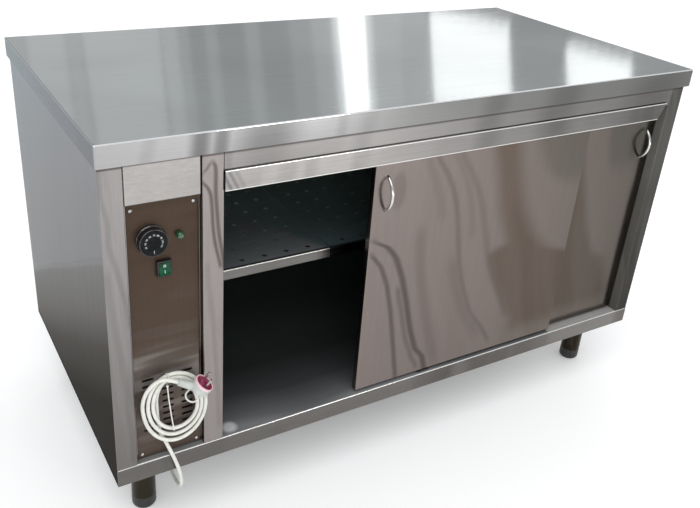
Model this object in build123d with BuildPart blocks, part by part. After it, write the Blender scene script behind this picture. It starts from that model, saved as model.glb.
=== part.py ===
"""Heated serving table: folded stainless cabinet, sliding doors, heater column and mains lead."""
import os
from math import cos, pi, radians, sin, sqrt, tan

from build123d import *

os.makedirs("parts", exist_ok=True)

# Overall sizes in millimetres: X along the front, Y to the back, Z up from the floor
top_length = 1400.0
top_depth = 700.0
table_height = 850.0
top_edge = 40.0
side_overhang = 5.0
front_overhang = 10.0
leg_height = 150.0
floor_fold = 40.0

# Sheet thicknesses, bends and the small gaps between fitted pieces
top_sheet = 1.5
body_sheet = 1.2
liner_sheet = 1.0
door_sheet = 1.0
bend = 2.0
hem_bend = 1.4
fit_gap = 0.3
run_gap = 0.05

# Worktop filling and its ribs
top_return = 25.0
core_thick = 18.0
rib_width = 60.0
rib_count = 3
rib_pitch = 420.0

# Front layout: three posts, the heater column between the left two, the cupboard on the right
post_width = 40.0
post_return = 40.0
column_width = 135.0
wall_depth = 40.0
back_return = 20.0
floor_return = 15.0

# Control panel and the plate above it
panel_recess = 12.0
panel_sheet = 1.5
panel_width = 125.0
panel_bottom_gap = 2.0
panel_flange = 22.0
plate_recess = 4.0
plate_drop = 77.0
plate_side_gap = 0.8
plate_return = 9.0
panel_screw_pitch_x = 110.0
panel_screw_low = 9.5
panel_screw_high = 12.0
panel_screw_head = 7.5
panel_screw_head_height = 2.6
panel_screw_rim = 1.0
panel_screw_shoulder = 6.4
panel_screw_shoulder_height = 1.95
panel_screw_crown = 3.8
panel_screw_thread = 4.0
panel_screw_length = 9.0

# Vent slots: columns across and rows down, measured from the panel's middle
slot_length = 20.5
slot_height = 3.0
slot_columns = 3
slot_rows = 9
slot_pitch_x = 37.7
slot_pitch_z = 14.5
slot_lowest = 66.0

# Thermostat, pilot lamp and rocker switch, placed from the panel's middle line and top edge
knob_x = -21.8
knob_drop = 71.0
knob_diameter = 54.0
knob_depth = 17.0
knob_gap = 1.0
knob_cap = 4.0
knob_skirt = 3.0
knob_step = 1.5
knob_round = 1.5
shaft_diameter = 6.0
shaft_depth = 24.0
bushing_diameter = 10.0
bushing_shoulder = 3.0
bushing_proud = 2.0
thermostat_size = 40.0
thermostat_depth = 34.0
lamp_x = 28.9
lamp_drop = 71.0
lamp_diameter = 14.0
lamp_height = 13.0
lamp_flange = 1.6
lamp_collar = 2.0
lamp_stem = 9.0
lamp_stem_length = 30.0
switch_x = -1.2
switch_drop = 130.0
switch_width = 26.0
switch_height = 31.0
switch_proud = 8.0
switch_lip = 1.0
switch_wall = 2.4
switch_round = 0.8
switch_body_depth = 22.0
switch_pivot = 3.5
pocket_depth = 12.0
rocker_gap = 0.4
rocker_tilt = 7.0
rocker_rise = 2.0
rocker_dish = 1.6
rocker_back = 3.0
rocker_round = 0.5
rocker_pin_diameter = 3.0
rocker_pin_length = 1.4

# Upper rail, door track and its front cover strip
rail_height = 45.0
rail_flange = 62.0
fascia_top_drop = 37.0
fascia_height = 39.0
fascia_proud = 5.0
fascia_hem = 10.0
fascia_hem_gap = 4.0
fascia_end_gap = 13.0
fascia_end_slant = 22.0
track_wall = 1.5
track_plate = 2.0
blade_thick = 2.0
blade_height = 6.0
blade_drop = 26.8
web_offset = 8.0

# Sliding doors
door_overlap = 19.0
door_thick = 14.0
door_pitch = 16.0
door_recess = 6.0
door_floor_gap = 6.0
door_track_gap = 10.0
door_stop_gap = 0.5
front_door_open = 317.0
door_slot = 5.0
liner_lip = 6.0
front_handle_inset = 29.0
rear_handle_inset = 33.0
handle_drop = 99.0
handle_centres = 73.0
handle_bulge = 22.0
handle_rod = 6.6
hanger_inset = 90.0
hanger_length = 32.0
hanger_sheet = 1.5
hanger_head = 9.0
roller_diameter = 20.0
roller_groove_diameter = 16.0
roller_groove_width = 3.2
roller_width = 7.0
axle_diameter = 5.0
guide_length = 30.0
guide_base = 4.0
guide_fin = 3.0
guide_fin_height = 16.0
front_guide_inset = 185.0
rear_guide_inset = 220.0

# Perforated shelf in lift-out panels
shelf_height = 325.5
shelf_front_gap = 97.0
shelf_back_gap = 10.0
shelf_panels = 4
shelf_gap = 2.0
shelf_lip = 23.0
shelf_hem = 9.0
shelf_hole = 10.0
shelf_hole_pitch = 50.0
shelf_hole_front = 25.0
shelf_rail = 20.0

# Air holes in the wall between column and cupboard
air_hole = 14.0
air_pitch = 30.0
air_columns = 9
air_rows = 3
air_low = 90.0
air_top_gap = 120.0

# Fan, heater and terminal block inside the column
fan_height = 130.0
fan_plate_depth = 145.0
fan_plate_height = 260.0
motor_diameter = 56.0
motor_front = 20.0
motor_rear = 32.0
motor_flange = 76.0
motor_flange_thick = 2.0
motor_clear = 1.0
fan_air_hole = 15.0
fan_air_circle = 104.0
fan_air_count = 10
impeller_diameter = 104.0
impeller_width = 16.0
impeller_gap = 5.0
impeller_hub = 24.0
impeller_blades = 5
blade_sheet = 1.2
blade_chord = 18.0
blade_angle = 35.0
spindle_diameter = 6.0
spindle_depth = 22.0
heater_tube = 8.0
heater_legs = 4
heater_pitch = 36.0
heater_bend = 0.45
heater_low = 90.0
heater_high = 420.0
heater_depth = 250.0
heater_bar = 20.0
heater_bar_thick = 2.0
heater_bar_inset = 50.0
terminal_length = 60.0
terminal_depth = 26.0
terminal_height = 24.0
terminal_back = 330.0
terminal_poles = 3
terminal_hole = 6.0

# Legs and screw-in feet
leg_inset_x = 75.0
leg_inset_y = 90.0
leg_diameter = 50.0
leg_wall = 1.5
leg_flange_diameter = 68.0
leg_flange_thick = 3.0
leg_plug = 10.0
channel_width = 70.0
channel_sheet = 2.0
channel_end_gap = 2.0
foot_height = 30.0
foot_round = 9.0
foot_stem = 12.0
foot_stem_length = 62.0

# Cable gland under the floor of the column
gland_x = 25.5
gland_back = 106.0
gland_nozzle = 33.8
gland_hex = 22.0
gland_hex_height = 9.0
gland_shoulder = 2.0
gland_thread = 16.0
gland_nut_height = 6.0
gland_tip = 11.0
gland_lead = 19.0

# Mains lead, measured from the column's middle line, the front plane and the floor of the cabinet
cord_diameter = 7.5
arc_share = 0.45
cord_route = [
    (-22.8, 3.5, 65.0),
    (-11.0, 5.5, 34.0),
    (0.5, -10.5, 1.0),
    (10.5, -15.0, -37.0),
    (16.5, -8.0, -77.0),
    (19.5, 20.0, -108.0),
    (20.5, 63.0, -110.0),
    (23.5, 96.0, -86.0),
]

# Hung coil: each turn steps inwards, the last half turn lies behind the others
coil_turns = 3
coil_front = 6.0
coil_layer = 9.5
coil_left = -36.3
coil_left_step = 9.75
coil_left_z = 130.0
coil_left_drop = 2.0
coil_right = 52.6
coil_right_step = 8.6
coil_right_z = 115.0
coil_right_rise = 3.0
coil_low = 67.0
coil_low_step = 14.5
coil_low_x = 5.5
coil_low_shift = 1.0
coil_high = 179.2
coil_high_step = 8.8
coil_top_x = 8.5
coil_behind_z = 180.0
coil_sample = 2.0
coil_same_turn = 60.0

# Angled plug, its pins and its pull ring
plug_face_point = (55.7, -34.4, 178.1)
plug_axis = (0.547, -0.266, 0.793)
plug_diameter = 38.0
plug_length = 22.0
plug_rim = 1.9
plug_recess = 3.0
plug_face_thick = 2.0
plug_back_round = 5.0
neck_axis = (0.880, -0.207, -0.4265)
neck_behind = 15.0
neck_start = 8.0
neck_length = 44.0
neck_root = 19.0
neck_end = 12.5
pin_row = (0.238, 0.958, 0.158)
pin_diameter = 4.8
pin_length = 19.0
pin_pitch = 19.0
pin_round = 1.0
ring_axis = (-0.615, -0.770, 0.167)
ring_drop = 30.0
ring_width = 27.0
ring_wire = 3.4

# Cable tie round the strands at the top left of the coil, with its loose tail
tie_point = (-9.5, -7.5, 189.0)
tie_axis = (-0.90, 0.0, -0.43)
tie_reach = 35.0
tie_width = 2.6
tie_thick = 1.1
tie_clear = 1.0
tie_round = 3.0
tie_head = 4.6
tie_tail_end = (6.5, -12.0, 56.0)

# Cabinet limits that follow from the sizes above
body_x = top_length / 2 - side_overhang
back_y = top_depth / 2 - front_overhang
front_y = -back_y
floor_z = leg_height + floor_fold
roof_z = table_height - top_edge
column_x0 = -body_x + post_width
column_x1 = column_x0 + column_width
column_mid = (column_x0 + column_x1) / 2
cup_x0 = column_x1 + post_width
cup_x1 = body_x - post_width
cup_width = cup_x1 - cup_x0
liner_y = back_y - wall_depth
low = (Align.CENTER, Align.CENTER, Align.MIN)
corner = (Align.MIN, Align.MIN, Align.MIN)


def save(builder, name):
    """Label a finished piece and write it to its own file."""
    builder.part.label = name
    export_step(builder.part, f"parts/{name}.step")


def fold(points, sheet, side, radius=bend):
    """Section of a folded sheet: a line with rounded bends, thickened to one side."""
    with BuildSketch() as section:
        with BuildLine():
            FilletPolyline(*points, radius=radius)
            offset(amount=sheet, side=side)
        make_face()
    return section.sketch


def turned(profile):
    """Solid of revolution about Z from a closed outline of (radius, height) points."""
    with BuildPart() as blank:
        with BuildSketch(Plane.XZ):
            with BuildLine():
                Polyline(*profile, close=True)
            make_face()
        revolve(axis=Axis.Z)
    return blank.part


def facing_front(x, y, z):
    """Place whose Z axis points out of the front of the table."""
    return Location((x, y, z), (90, 0, 0))


# Worktop: one sheet folded down on four sides and returned underneath
with BuildPart() as worktop:
    with Locations((0, 0, roof_z)):
        Box(top_length, top_depth, top_edge, align=low)
    upright = worktop.edges().filter_by(Axis.Z)
    fillet(upright + worktop.faces().sort_by(Axis.Z)[-1].edges(), radius=bend)
    with Locations((0, 0, roof_z + top_sheet)):
        Box(
            top_length - 2 * top_sheet,
            top_depth - 2 * top_sheet,
            top_edge - 2 * top_sheet,
            align=low,
            mode=Mode.SUBTRACT,
        )
    with Locations((0, 0, roof_z)):
        Box(
            top_length - 2 * top_return,
            top_depth - 2 * top_return,
            top_sheet,
            align=low,
            mode=Mode.SUBTRACT,
        )
save(worktop, "worktop")

# Board glued under the worktop sheet to stiffen and quieten it
core_z = table_height - top_sheet - core_thick
with BuildPart() as worktop_core:
    with Locations((0, 0, core_z)):
        Box(
            top_length - 2 * (top_sheet + fit_gap),
            top_depth - 2 * (top_sheet + fit_gap),
            core_thick,
            align=low,
        )
save(worktop_core, "worktop_core")

# Channel ribs across the depth under the board
rib_height = core_z - roof_z - top_sheet
rib_length = top_depth - 2 * top_sheet - 2 * fit_gap
rib_line = [
    (-rib_width / 2, rib_height),
    (-rib_width / 2, 0),
    (rib_width / 2, 0),
    (rib_width / 2, rib_height),
]
with BuildPart() as worktop_ribs:
    with BuildSketch(Plane.XZ.offset(-rib_length / 2)):
        with Locations((0, core_z - rib_height)):
            with GridLocations(rib_pitch, 1, rib_count, 1):
                add(fold(rib_line, body_sheet, Side.LEFT))
    extrude(amount=rib_length)
save(worktop_ribs, "worktop_ribs")

# Heights and screw places of the control panel, shared with the posts that carry it
panel_y = front_y + panel_recess
panel_back = panel_y + panel_sheet
plate_y = front_y + plate_recess
plate_low = roof_z - plate_drop
panel_low = floor_z + panel_bottom_gap
panel_top = plate_low - fit_gap
screw_x = (column_mid - panel_screw_pitch_x / 2, column_mid + panel_screw_pitch_x / 2)
screw_z = (panel_low + panel_screw_low, panel_top - panel_screw_high)
screw_spots = [(x, z) for x in screw_x for z in screw_z]
screw_bore = panel_screw_thread / 2 + run_gap

# Left side: outer wall folded round the front post, with a flange that carries the control panel
left_line = [
    (column_x0 + panel_flange, panel_back),
    (column_x0, panel_back),
    (column_x0, front_y),
    (-body_x, front_y),
    (-body_x, back_y),
]
wall_height = roof_z - floor_z
with BuildPart() as left_side_panel:
    with BuildSketch(Plane.XY.offset(floor_z)):
        add(fold(left_line, body_sheet, Side.RIGHT))
    extrude(amount=wall_height)
    with Locations((-body_x, front_y, leg_height)):
        Box(body_sheet, back_y - front_y, floor_fold, align=corner)
    with BuildSketch(Plane.XZ.offset(-panel_back)):
        with Locations(*screw_spots[:2]):
            Circle(screw_bore)
    extrude(amount=-body_sheet, mode=Mode.SUBTRACT)
save(left_side_panel, "left_side_panel")

# Right side: the same wall and post, with a plain return beside the doors
right_line = [
    (cup_x1, front_y + post_return),
    (cup_x1, front_y),
    (body_x, front_y),
    (body_x, back_y),
]
with BuildPart() as right_side_panel:
    with BuildSketch(Plane.XY.offset(floor_z)):
        add(fold(right_line, body_sheet, Side.LEFT))
    extrude(amount=wall_height)
    with Locations((body_x - body_sheet, front_y, leg_height)):
        Box(body_sheet, back_y - front_y, floor_fold, align=corner)
save(right_side_panel, "right_side_panel")

# Back sheet between the two sides
inside_x = body_x - body_sheet
back_line = [
    (-inside_x, back_y - back_return),
    (-inside_x, back_y),
    (inside_x, back_y),
    (inside_x, back_y - back_return),
]
with BuildPart() as back_panel:
    with BuildSketch(Plane.XY.offset(floor_z)):
        add(fold(back_line, body_sheet, Side.RIGHT))
    extrude(amount=wall_height)
save(back_panel, "back_panel")

# Floor: inverted tray whose front fold is the bottom rail, with the hole for the cable gland
gland_at = (column_mid + gland_x, front_y + gland_back)
with BuildPart() as floor_tray:
    with Locations((0, 0, leg_height)):
        Box(2 * inside_x, back_y - front_y, floor_fold, align=low)
    fillet(floor_tray.faces().sort_by(Axis.Z)[-1].edges().filter_by(Axis.X), radius=bend)
    with Locations((0, 0, leg_height + body_sheet)):
        Box(
            2 * (inside_x - body_sheet),
            back_y - front_y - 2 * body_sheet,
            floor_fold - 2 * body_sheet,
            align=low,
            mode=Mode.SUBTRACT,
        )
    with Locations((0, 0, leg_height)):
        Box(
            2 * (inside_x - floor_return),
            back_y - front_y - 2 * floor_return,
            body_sheet,
            align=low,
            mode=Mode.SUBTRACT,
        )
    with BuildSketch(Plane.XY.offset(floor_z)):
        with Locations(gland_at):
            Circle(gland_thread / 2 + fit_gap)
    extrude(amount=-body_sheet, mode=Mode.SUBTRACT)
save(floor_tray, "floor_tray")

# Middle post: channel between the heater column and the cupboard, with the panel's other flange
mid_line = [
    (column_x1 - panel_flange, panel_back),
    (column_x1, panel_back),
    (column_x1, front_y),
    (cup_x0, front_y),
    (cup_x0, front_y + post_return),
]
with BuildPart() as mid_post:
    with BuildSketch(Plane.XY.offset(floor_z)):
        add(fold(mid_line, body_sheet, Side.LEFT))
    extrude(amount=wall_height)
    with BuildSketch(Plane.XZ.offset(-panel_back)):
        with Locations(*screw_spots[2:]):
            Circle(screw_bore)
    extrude(amount=-body_sheet, mode=Mode.SUBTRACT)
save(mid_post, "mid_post")

# Wall between column and cupboard, pierced low and high for the warm air
with BuildPart() as partition_wall:
    with Locations((cup_x0 - body_sheet, front_y + post_return, floor_z)):
        Box(body_sheet, liner_y - front_y - post_return, wall_height, align=corner)
    with BuildSketch(Plane.YZ.offset(cup_x0)):
        for height in (floor_z + air_low, roof_z - air_top_gap):
            with Locations((0, height)):
                with GridLocations(air_pitch, air_pitch, air_columns, air_rows):
                    Circle(air_hole / 2)
    extrude(amount=-body_sheet, mode=Mode.SUBTRACT)
save(partition_wall, "partition_wall")

# Cupboard linings and the insulation behind them
with BuildPart() as back_liner:
    with Locations((cup_x0 - body_sheet, liner_y, floor_z)):
        Box(cup_width + body_sheet, liner_sheet, wall_height, align=corner)
save(back_liner, "back_liner")

lining_depth = liner_y + liner_sheet - front_y - post_return
with BuildPart() as right_liner:
    with Locations((cup_x1, front_y + post_return, floor_z)):
        Box(liner_sheet, lining_depth, wall_height, align=corner)
save(right_liner, "right_liner")

slab_x = inside_x - body_sheet - fit_gap - cup_x1 - liner_sheet
slab_y = back_y - body_sheet - fit_gap - liner_y - liner_sheet
with BuildPart() as wall_insulation:
    with Locations((cup_x1 + liner_sheet, front_y + post_return, floor_z)):
        Box(slab_x, lining_depth, wall_height, align=corner)
    with Locations((cup_x0, liner_y + liner_sheet, floor_z)):
        Box(cup_width, slab_y, wall_height, align=corner)
save(wall_insulation, "wall_insulation")

# Upper rail under the worktop, between the middle and right posts
rail_line = [(front_y, roof_z - rail_height), (front_y, roof_z), (front_y + rail_flange, roof_z)]
with BuildPart() as upper_rail:
    with BuildSketch(Plane.YZ.offset(cup_x0)):
        add(fold(rail_line, body_sheet, Side.RIGHT))
    extrude(amount=cup_width)
save(upper_rail, "upper_rail")

# Cover strip in front of the door track: hemmed below, ledged above, slanted at its right end
fascia_top = roof_z - fascia_top_drop
fascia_low = fascia_top - fascia_height
fascia_y = front_y - fascia_proud
fascia_line = [
    (fascia_y + fascia_hem_gap, fascia_low + fascia_hem),
    (fascia_y + fascia_hem_gap, fascia_low),
    (fascia_y, fascia_low),
    (fascia_y, fascia_top),
    (front_y, fascia_top),
]
with BuildPart() as track_fascia:
    with BuildSketch(Plane.YZ.offset(cup_x0)):
        add(fold(fascia_line, liner_sheet, Side.RIGHT, hem_bend))
    extrude(amount=cup_width)
    with BuildSketch(Plane.XZ.offset(-front_y)):
        with BuildLine():
            Polyline(
                (cup_x1, fascia_top),
                (cup_x1 - fascia_end_gap, fascia_top),
                (cup_x1 - fascia_end_gap - fascia_end_slant, fascia_low),
                (cup_x1, fascia_low),
                close=True,
            )
        make_face()
    extrude(amount=fascia_proud, mode=Mode.SUBTRACT)
save(track_fascia, "track_fascia")

# Door track: two hooked rails under one plate, each with a blade that a grooved roller runs on
door_y = {"front": front_y + door_recess + door_thick / 2}
door_y["rear"] = door_y["front"] + door_pitch
track_top = roof_z - body_sheet
blade_z = track_top - blade_drop
hook_z = blade_z - blade_height
with BuildPart() as door_track:
    with BuildSketch(Plane.YZ.offset(cup_x0)):
        with Locations((door_y["front"] - web_offset, track_top - track_plate)):
            Rectangle(door_pitch + 2 * web_offset, track_plate, align=(Align.MIN, Align.MIN))
        for y in door_y.values():
            with Locations((y - web_offset, hook_z)):
                Rectangle(track_wall, track_top - hook_z, align=(Align.MIN, Align.MIN))
                Rectangle(web_offset + blade_thick / 2, track_wall, align=(Align.MIN, Align.MIN))
            with Locations((y, hook_z)):
                Rectangle(blade_thick, blade_height, align=(Align.CENTER, Align.MIN))
    extrude(amount=cup_width)
save(door_track, "door_track")

# Sliding doors: folded skin, inner lining, bow handle, two hangers and their rollers
door_width = (cup_width + door_overlap) / 2
door_low = floor_z + door_floor_gap
door_top = hook_z - door_track_gap
door_height = door_top - door_low
door_x = {"front": cup_x0 + front_door_open, "rear": cup_x1 - door_stop_gap - door_width}
handle_x = {
    "front": door_x["front"] + front_handle_inset,
    "rear": door_x["rear"] + door_width - rear_handle_inset,
}
handle_z = door_top - handle_drop
axle_z = blade_z + roller_groove_diameter / 2 + fit_gap
bracket_y = roller_width / 2 + fit_gap
for name, y_mid in door_y.items():
    x0 = door_x[name]
    x_mid = x0 + door_width / 2
    face_y = y_mid - door_thick / 2
    with BuildPart() as skin:
        with Locations((x_mid, y_mid, door_low)):
            Box(door_width, door_thick, door_height, align=low)
        fillet(skin.faces().sort_by(Axis.Y)[0].edges(), radius=bend)
        with Locations((x_mid, face_y + door_sheet, door_low + door_sheet)):
            Box(
                door_width - 2 * door_sheet,
                door_thick - door_sheet,
                door_height - 2 * door_sheet,
                align=(Align.CENTER, Align.MIN, Align.MIN),
                mode=Mode.SUBTRACT,
            )
        with Locations((x_mid, y_mid, door_low)):
            Box(door_width, door_slot, door_sheet, align=low, mode=Mode.SUBTRACT)
    save(skin, f"{name}_door_skin")

    with BuildPart() as lining:
        lining_width = door_width - 2 * (door_sheet + fit_gap)
        lining_height = door_height - 2 * (door_sheet + fit_gap)
        with Locations((x_mid, y_mid + door_thick / 2, door_low + door_sheet + fit_gap)):
            Box(lining_width, liner_lip, lining_height, align=(Align.CENTER, Align.MAX, Align.MIN))
        inner_gap = door_sheet + fit_gap + door_sheet
        with Locations((x_mid, y_mid + door_thick / 2 - door_sheet, door_low + inner_gap)):
            Box(
                lining_width - 2 * door_sheet,
                liner_lip - door_sheet,
                lining_height - 2 * door_sheet,
                align=(Align.CENTER, Align.MAX, Align.MIN),
                mode=Mode.SUBTRACT,
            )
        with Locations((x_mid, y_mid, door_low)):
            Box(door_width, door_slot, inner_gap, align=low, mode=Mode.SUBTRACT)
    save(lining, f"{name}_door_lining")

    with BuildPart() as handle:
        end_z = handle_centres / 2
        handle_at = (handle_x[name], face_y, handle_z)
        with BuildLine(Plane(handle_at, x_dir=(0, 0, 1), z_dir=(1, 0, 0))):
            bow = ThreePointArc((-end_z, 0), (0, handle_bulge), (end_z, 0))
        with BuildSketch(Plane(origin=bow @ 0, z_dir=bow % 0)):
            Circle(handle_rod / 2)
        sweep(path=bow)
        for end, way in ((0, -1), (1, 1)):
            with BuildSketch(Plane(origin=bow @ end, z_dir=bow % end)):
                Circle(handle_rod / 2)
            extrude(amount=way * handle_rod)
        split(bisect_by=Plane.XZ.offset(-face_y), keep=Keep.TOP)
    save(handle, f"{name}_door_handle")

    hanger_x = (x0 + hanger_inset, x0 + door_width - hanger_inset)
    with BuildPart() as hangers:
        with Locations(*[(x, y_mid, door_top) for x in hanger_x]):
            Box(hanger_length, 2 * (bracket_y + hanger_sheet), hanger_sheet, align=low)
        with Locations(*[(x, y_mid + bracket_y, door_top) for x in hanger_x]):
            Box(
                hanger_length,
                hanger_sheet,
                axle_z + hanger_head - door_top,
                align=(Align.CENTER, Align.MIN, Align.MIN),
            )
        with Locations(*[facing_front(x, y_mid + bracket_y, axle_z) for x in hanger_x]):
            Cylinder(axle_diameter / 2, roller_width + 2 * fit_gap, align=low)
    save(hangers, f"{name}_door_hangers")

    groove = roller_groove_width / 2
    rim = roller_width / 2
    roller_outline = [
        (axle_diameter / 2 + run_gap, -rim),
        (roller_diameter / 2, -rim),
        (roller_diameter / 2, -groove),
        (roller_groove_diameter / 2, -groove),
        (roller_groove_diameter / 2, groove),
        (roller_diameter / 2, groove),
        (roller_diameter / 2, rim),
        (axle_diameter / 2 + run_gap, rim),
    ]
    for side, x in zip(("left", "right"), hanger_x):
        with BuildPart() as roller:
            with Locations(facing_front(x, y_mid, axle_z)):
                add(turned(roller_outline))
        save(roller, f"{name}_door_roller_{side}")

# Nylon guides on the floor, one fin up inside the slot under each door
guide_x = {
    "front": door_x["front"] + front_guide_inset,
    "rear": door_x["rear"] + rear_guide_inset,
}
with BuildPart() as door_guides:
    for name, y_mid in door_y.items():
        with Locations((guide_x[name], y_mid, floor_z)):
            Box(guide_length, door_thick, guide_base, align=low)
            Box(guide_length - 2 * guide_fin, guide_fin, guide_fin_height, align=low)
save(door_guides, "door_guides")

# Perforated shelf: lift-out panels with a folded lip along the front
shelf_z = floor_z + shelf_height
shelf_front = front_y + shelf_front_gap
shelf_back = liner_y - shelf_back_gap
shelf_depth = shelf_back - shelf_front
shelf_pitch = cup_width / shelf_panels
shelf_width = shelf_pitch - shelf_gap
shelf_line = [
    (shelf_front + shelf_hem, shelf_z - shelf_lip),
    (shelf_front, shelf_z - shelf_lip),
    (shelf_front, shelf_z),
    (shelf_back, shelf_z),
    (shelf_back, shelf_z - shelf_lip),
]
hole_columns = int(shelf_width / shelf_hole_pitch)
hole_rows = int((shelf_depth - shelf_hole_front) / shelf_hole_pitch)
hole_mid_y = shelf_front + shelf_hole_front + (hole_rows - 1) * shelf_hole_pitch / 2
with BuildPart() as shelf:
    for number in range(shelf_panels):
        x0 = cup_x0 + shelf_gap / 2 + number * shelf_pitch
        with BuildSketch(Plane.YZ.offset(x0)):
            add(fold(shelf_line, liner_sheet, Side.RIGHT))
        extrude(amount=shelf_width)
    with BuildSketch(Plane.XY.offset(shelf_z)):
        for number in range(shelf_panels):
            with Locations((cup_x0 + (number + 0.5) * shelf_pitch, hole_mid_y)):
                with GridLocations(shelf_hole_pitch, shelf_hole_pitch, hole_columns, hole_rows):
                    Circle(shelf_hole / 2)
    extrude(amount=-liner_sheet, mode=Mode.SUBTRACT)
save(shelf, "shelf_panels")

# Angle rails that the shelf panels rest on, between the side walls of the cupboard
rest_z = shelf_z - liner_sheet
front_rail_y = shelf_front + shelf_hem + fit_gap
front_rail_line = [
    (front_rail_y + shelf_rail, rest_z),
    (front_rail_y, rest_z),
    (front_rail_y, rest_z - shelf_rail),
]
rear_rail_y = shelf_back - liner_sheet - fit_gap
rear_rail_line = [
    (rear_rail_y - shelf_rail, rest_z),
    (rear_rail_y, rest_z),
    (rear_rail_y, rest_z - shelf_rail),
]
with BuildPart() as shelf_rails:
    with BuildSketch(Plane.YZ.offset(cup_x0)):
        add(fold(front_rail_line, body_sheet, Side.LEFT))
        add(fold(rear_rail_line, body_sheet, Side.RIGHT))
    extrude(amount=cup_width)
save(shelf_rails, "shelf_rails")

# Small plate at the top of the column, bare, folded back over the control panel
plate_line = [(plate_y, roof_z), (plate_y, plate_low), (plate_y + plate_return, plate_low)]
with BuildPart() as column_plate:
    with BuildSketch(Plane.YZ.offset(column_x0 + plate_side_gap)):
        add(fold(plate_line, body_sheet, Side.LEFT))
    extrude(amount=column_width - 2 * plate_side_gap)
save(column_plate, "column_plate")

# Control panel: flat sheet with holes for the controls, vent slots and four screws
knob_at = (column_mid + knob_x, plate_low - knob_drop)
lamp_at = (column_mid + lamp_x, plate_low - lamp_drop)
switch_at = (column_mid + switch_x, plate_low - switch_drop)
slot_mid = floor_z + slot_lowest + slot_pitch_z * (slot_rows - 1) / 2
cutout_width = switch_width - 2 * switch_lip
cutout_height = switch_height - 2 * switch_lip
with BuildPart() as control_panel:
    with Locations((column_mid, panel_y, panel_low)):
        Box(panel_width, panel_sheet, panel_top - panel_low, align=(Align.CENTER, Align.MIN, Align.MIN))
    with BuildSketch(Plane.XZ.offset(-panel_back)):
        with Locations((column_mid, slot_mid)):
            with GridLocations(slot_pitch_x, slot_pitch_z, slot_columns, slot_rows):
                SlotOverall(slot_length, slot_height)
        with Locations(*screw_spots):
            Circle(panel_screw_thread / 2 + fit_gap)
        with Locations(knob_at):
            Circle(bushing_diameter / 2 + fit_gap)
        with Locations(lamp_at):
            Circle(lamp_stem / 2 + fit_gap)
        with Locations(switch_at):
            Rectangle(cutout_width + 2 * fit_gap, cutout_height + 2 * fit_gap)
    extrude(amount=panel_sheet, mode=Mode.SUBTRACT)
save(control_panel, "control_panel")

# Four panel screws with domed heads, threaded into the posts' flanges
screw_outline = [
    (0, -panel_screw_length),
    (panel_screw_thread / 2, -panel_screw_length),
    (panel_screw_thread / 2, 0),
    (panel_screw_head / 2, 0),
    (panel_screw_head / 2, panel_screw_rim),
    (panel_screw_shoulder / 2, panel_screw_shoulder_height),
    (panel_screw_crown / 2, panel_screw_head_height),
    (0, panel_screw_head_height),
]
with BuildPart() as panel_screws:
    with Locations(*[facing_front(x, panel_y, z) for x, z in screw_spots]):
        add(turned(screw_outline))
save(panel_screws, "panel_screws")

# Thermostat body behind the panel, with a threaded bushing that carries the shaft
thermostat_gap = body_sheet + fit_gap
shaft_reach = knob_gap + knob_depth - knob_cap
with BuildPart() as thermostat:
    with Locations((knob_at[0], panel_back + thermostat_gap, knob_at[1])):
        Box(
            thermostat_size,
            thermostat_depth,
            thermostat_size,
            align=(Align.CENTER, Align.MIN, Align.CENTER),
        )
    with Locations(facing_front(knob_at[0], panel_back + thermostat_gap, knob_at[1])):
        Cylinder(bushing_diameter / 2 + bushing_shoulder, thermostat_gap, align=low)
        Cylinder(bushing_diameter / 2, thermostat_gap + panel_sheet + bushing_proud, align=low)
    with BuildSketch(Plane.XZ.offset(-panel_y + bushing_proud)):
        with Locations(knob_at):
            Circle(shaft_diameter / 2 + run_gap)
    extrude(amount=-shaft_depth, mode=Mode.SUBTRACT)
save(thermostat, "thermostat")

with BuildPart() as thermostat_shaft:
    with BuildSketch(Plane.XZ.offset(-panel_y + shaft_reach - fit_gap)):
        with Locations(knob_at):
            Circle(shaft_diameter / 2)
    extrude(amount=-(shaft_reach + shaft_depth - bushing_proud - 2 * fit_gap))
save(thermostat_shaft, "thermostat_shaft")

# Dial knob: a skirted disc hollowed at the back for the bushing and bored for the shaft
knob_radius = knob_diameter / 2
knob_top = knob_gap + knob_depth
hollow_top = bushing_proud + knob_gap
hollow_radius = bushing_diameter / 2 + knob_gap
shaft_bore = shaft_diameter / 2 + run_gap
knob_outline = [
    (shaft_bore, hollow_top),
    (hollow_radius, hollow_top),
    (hollow_radius, knob_gap),
    (knob_radius, knob_gap),
    (knob_radius, knob_gap + knob_skirt),
    (knob_radius - knob_step, knob_gap + knob_skirt + knob_step),
    (knob_radius - knob_step, knob_top),
    (0, knob_top),
    (0, shaft_reach),
    (shaft_bore, shaft_reach),
]
with BuildPart() as thermostat_knob:
    with Locations(facing_front(knob_at[0], panel_y, knob_at[1])):
        add(turned(knob_outline))
    fillet(thermostat_knob.faces().sort_by(Axis.Y)[0].edges(), radius=knob_round)
save(thermostat_knob, "thermostat_knob")

# Pilot lamp: flanged stem through the panel and a domed lens
lamp_radius = lamp_diameter / 2
lamp_outline = [
    (0, -lamp_stem_length),
    (lamp_stem / 2, -lamp_stem_length),
    (lamp_stem / 2, 0),
    (lamp_radius, 0),
    (lamp_radius, lamp_flange),
    (0, lamp_flange),
]
with BuildPart() as pilot_lamp_body:
    with Locations(facing_front(lamp_at[0], panel_y, lamp_at[1])):
        add(turned(lamp_outline))
save(pilot_lamp_body, "pilot_lamp_body")

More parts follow.
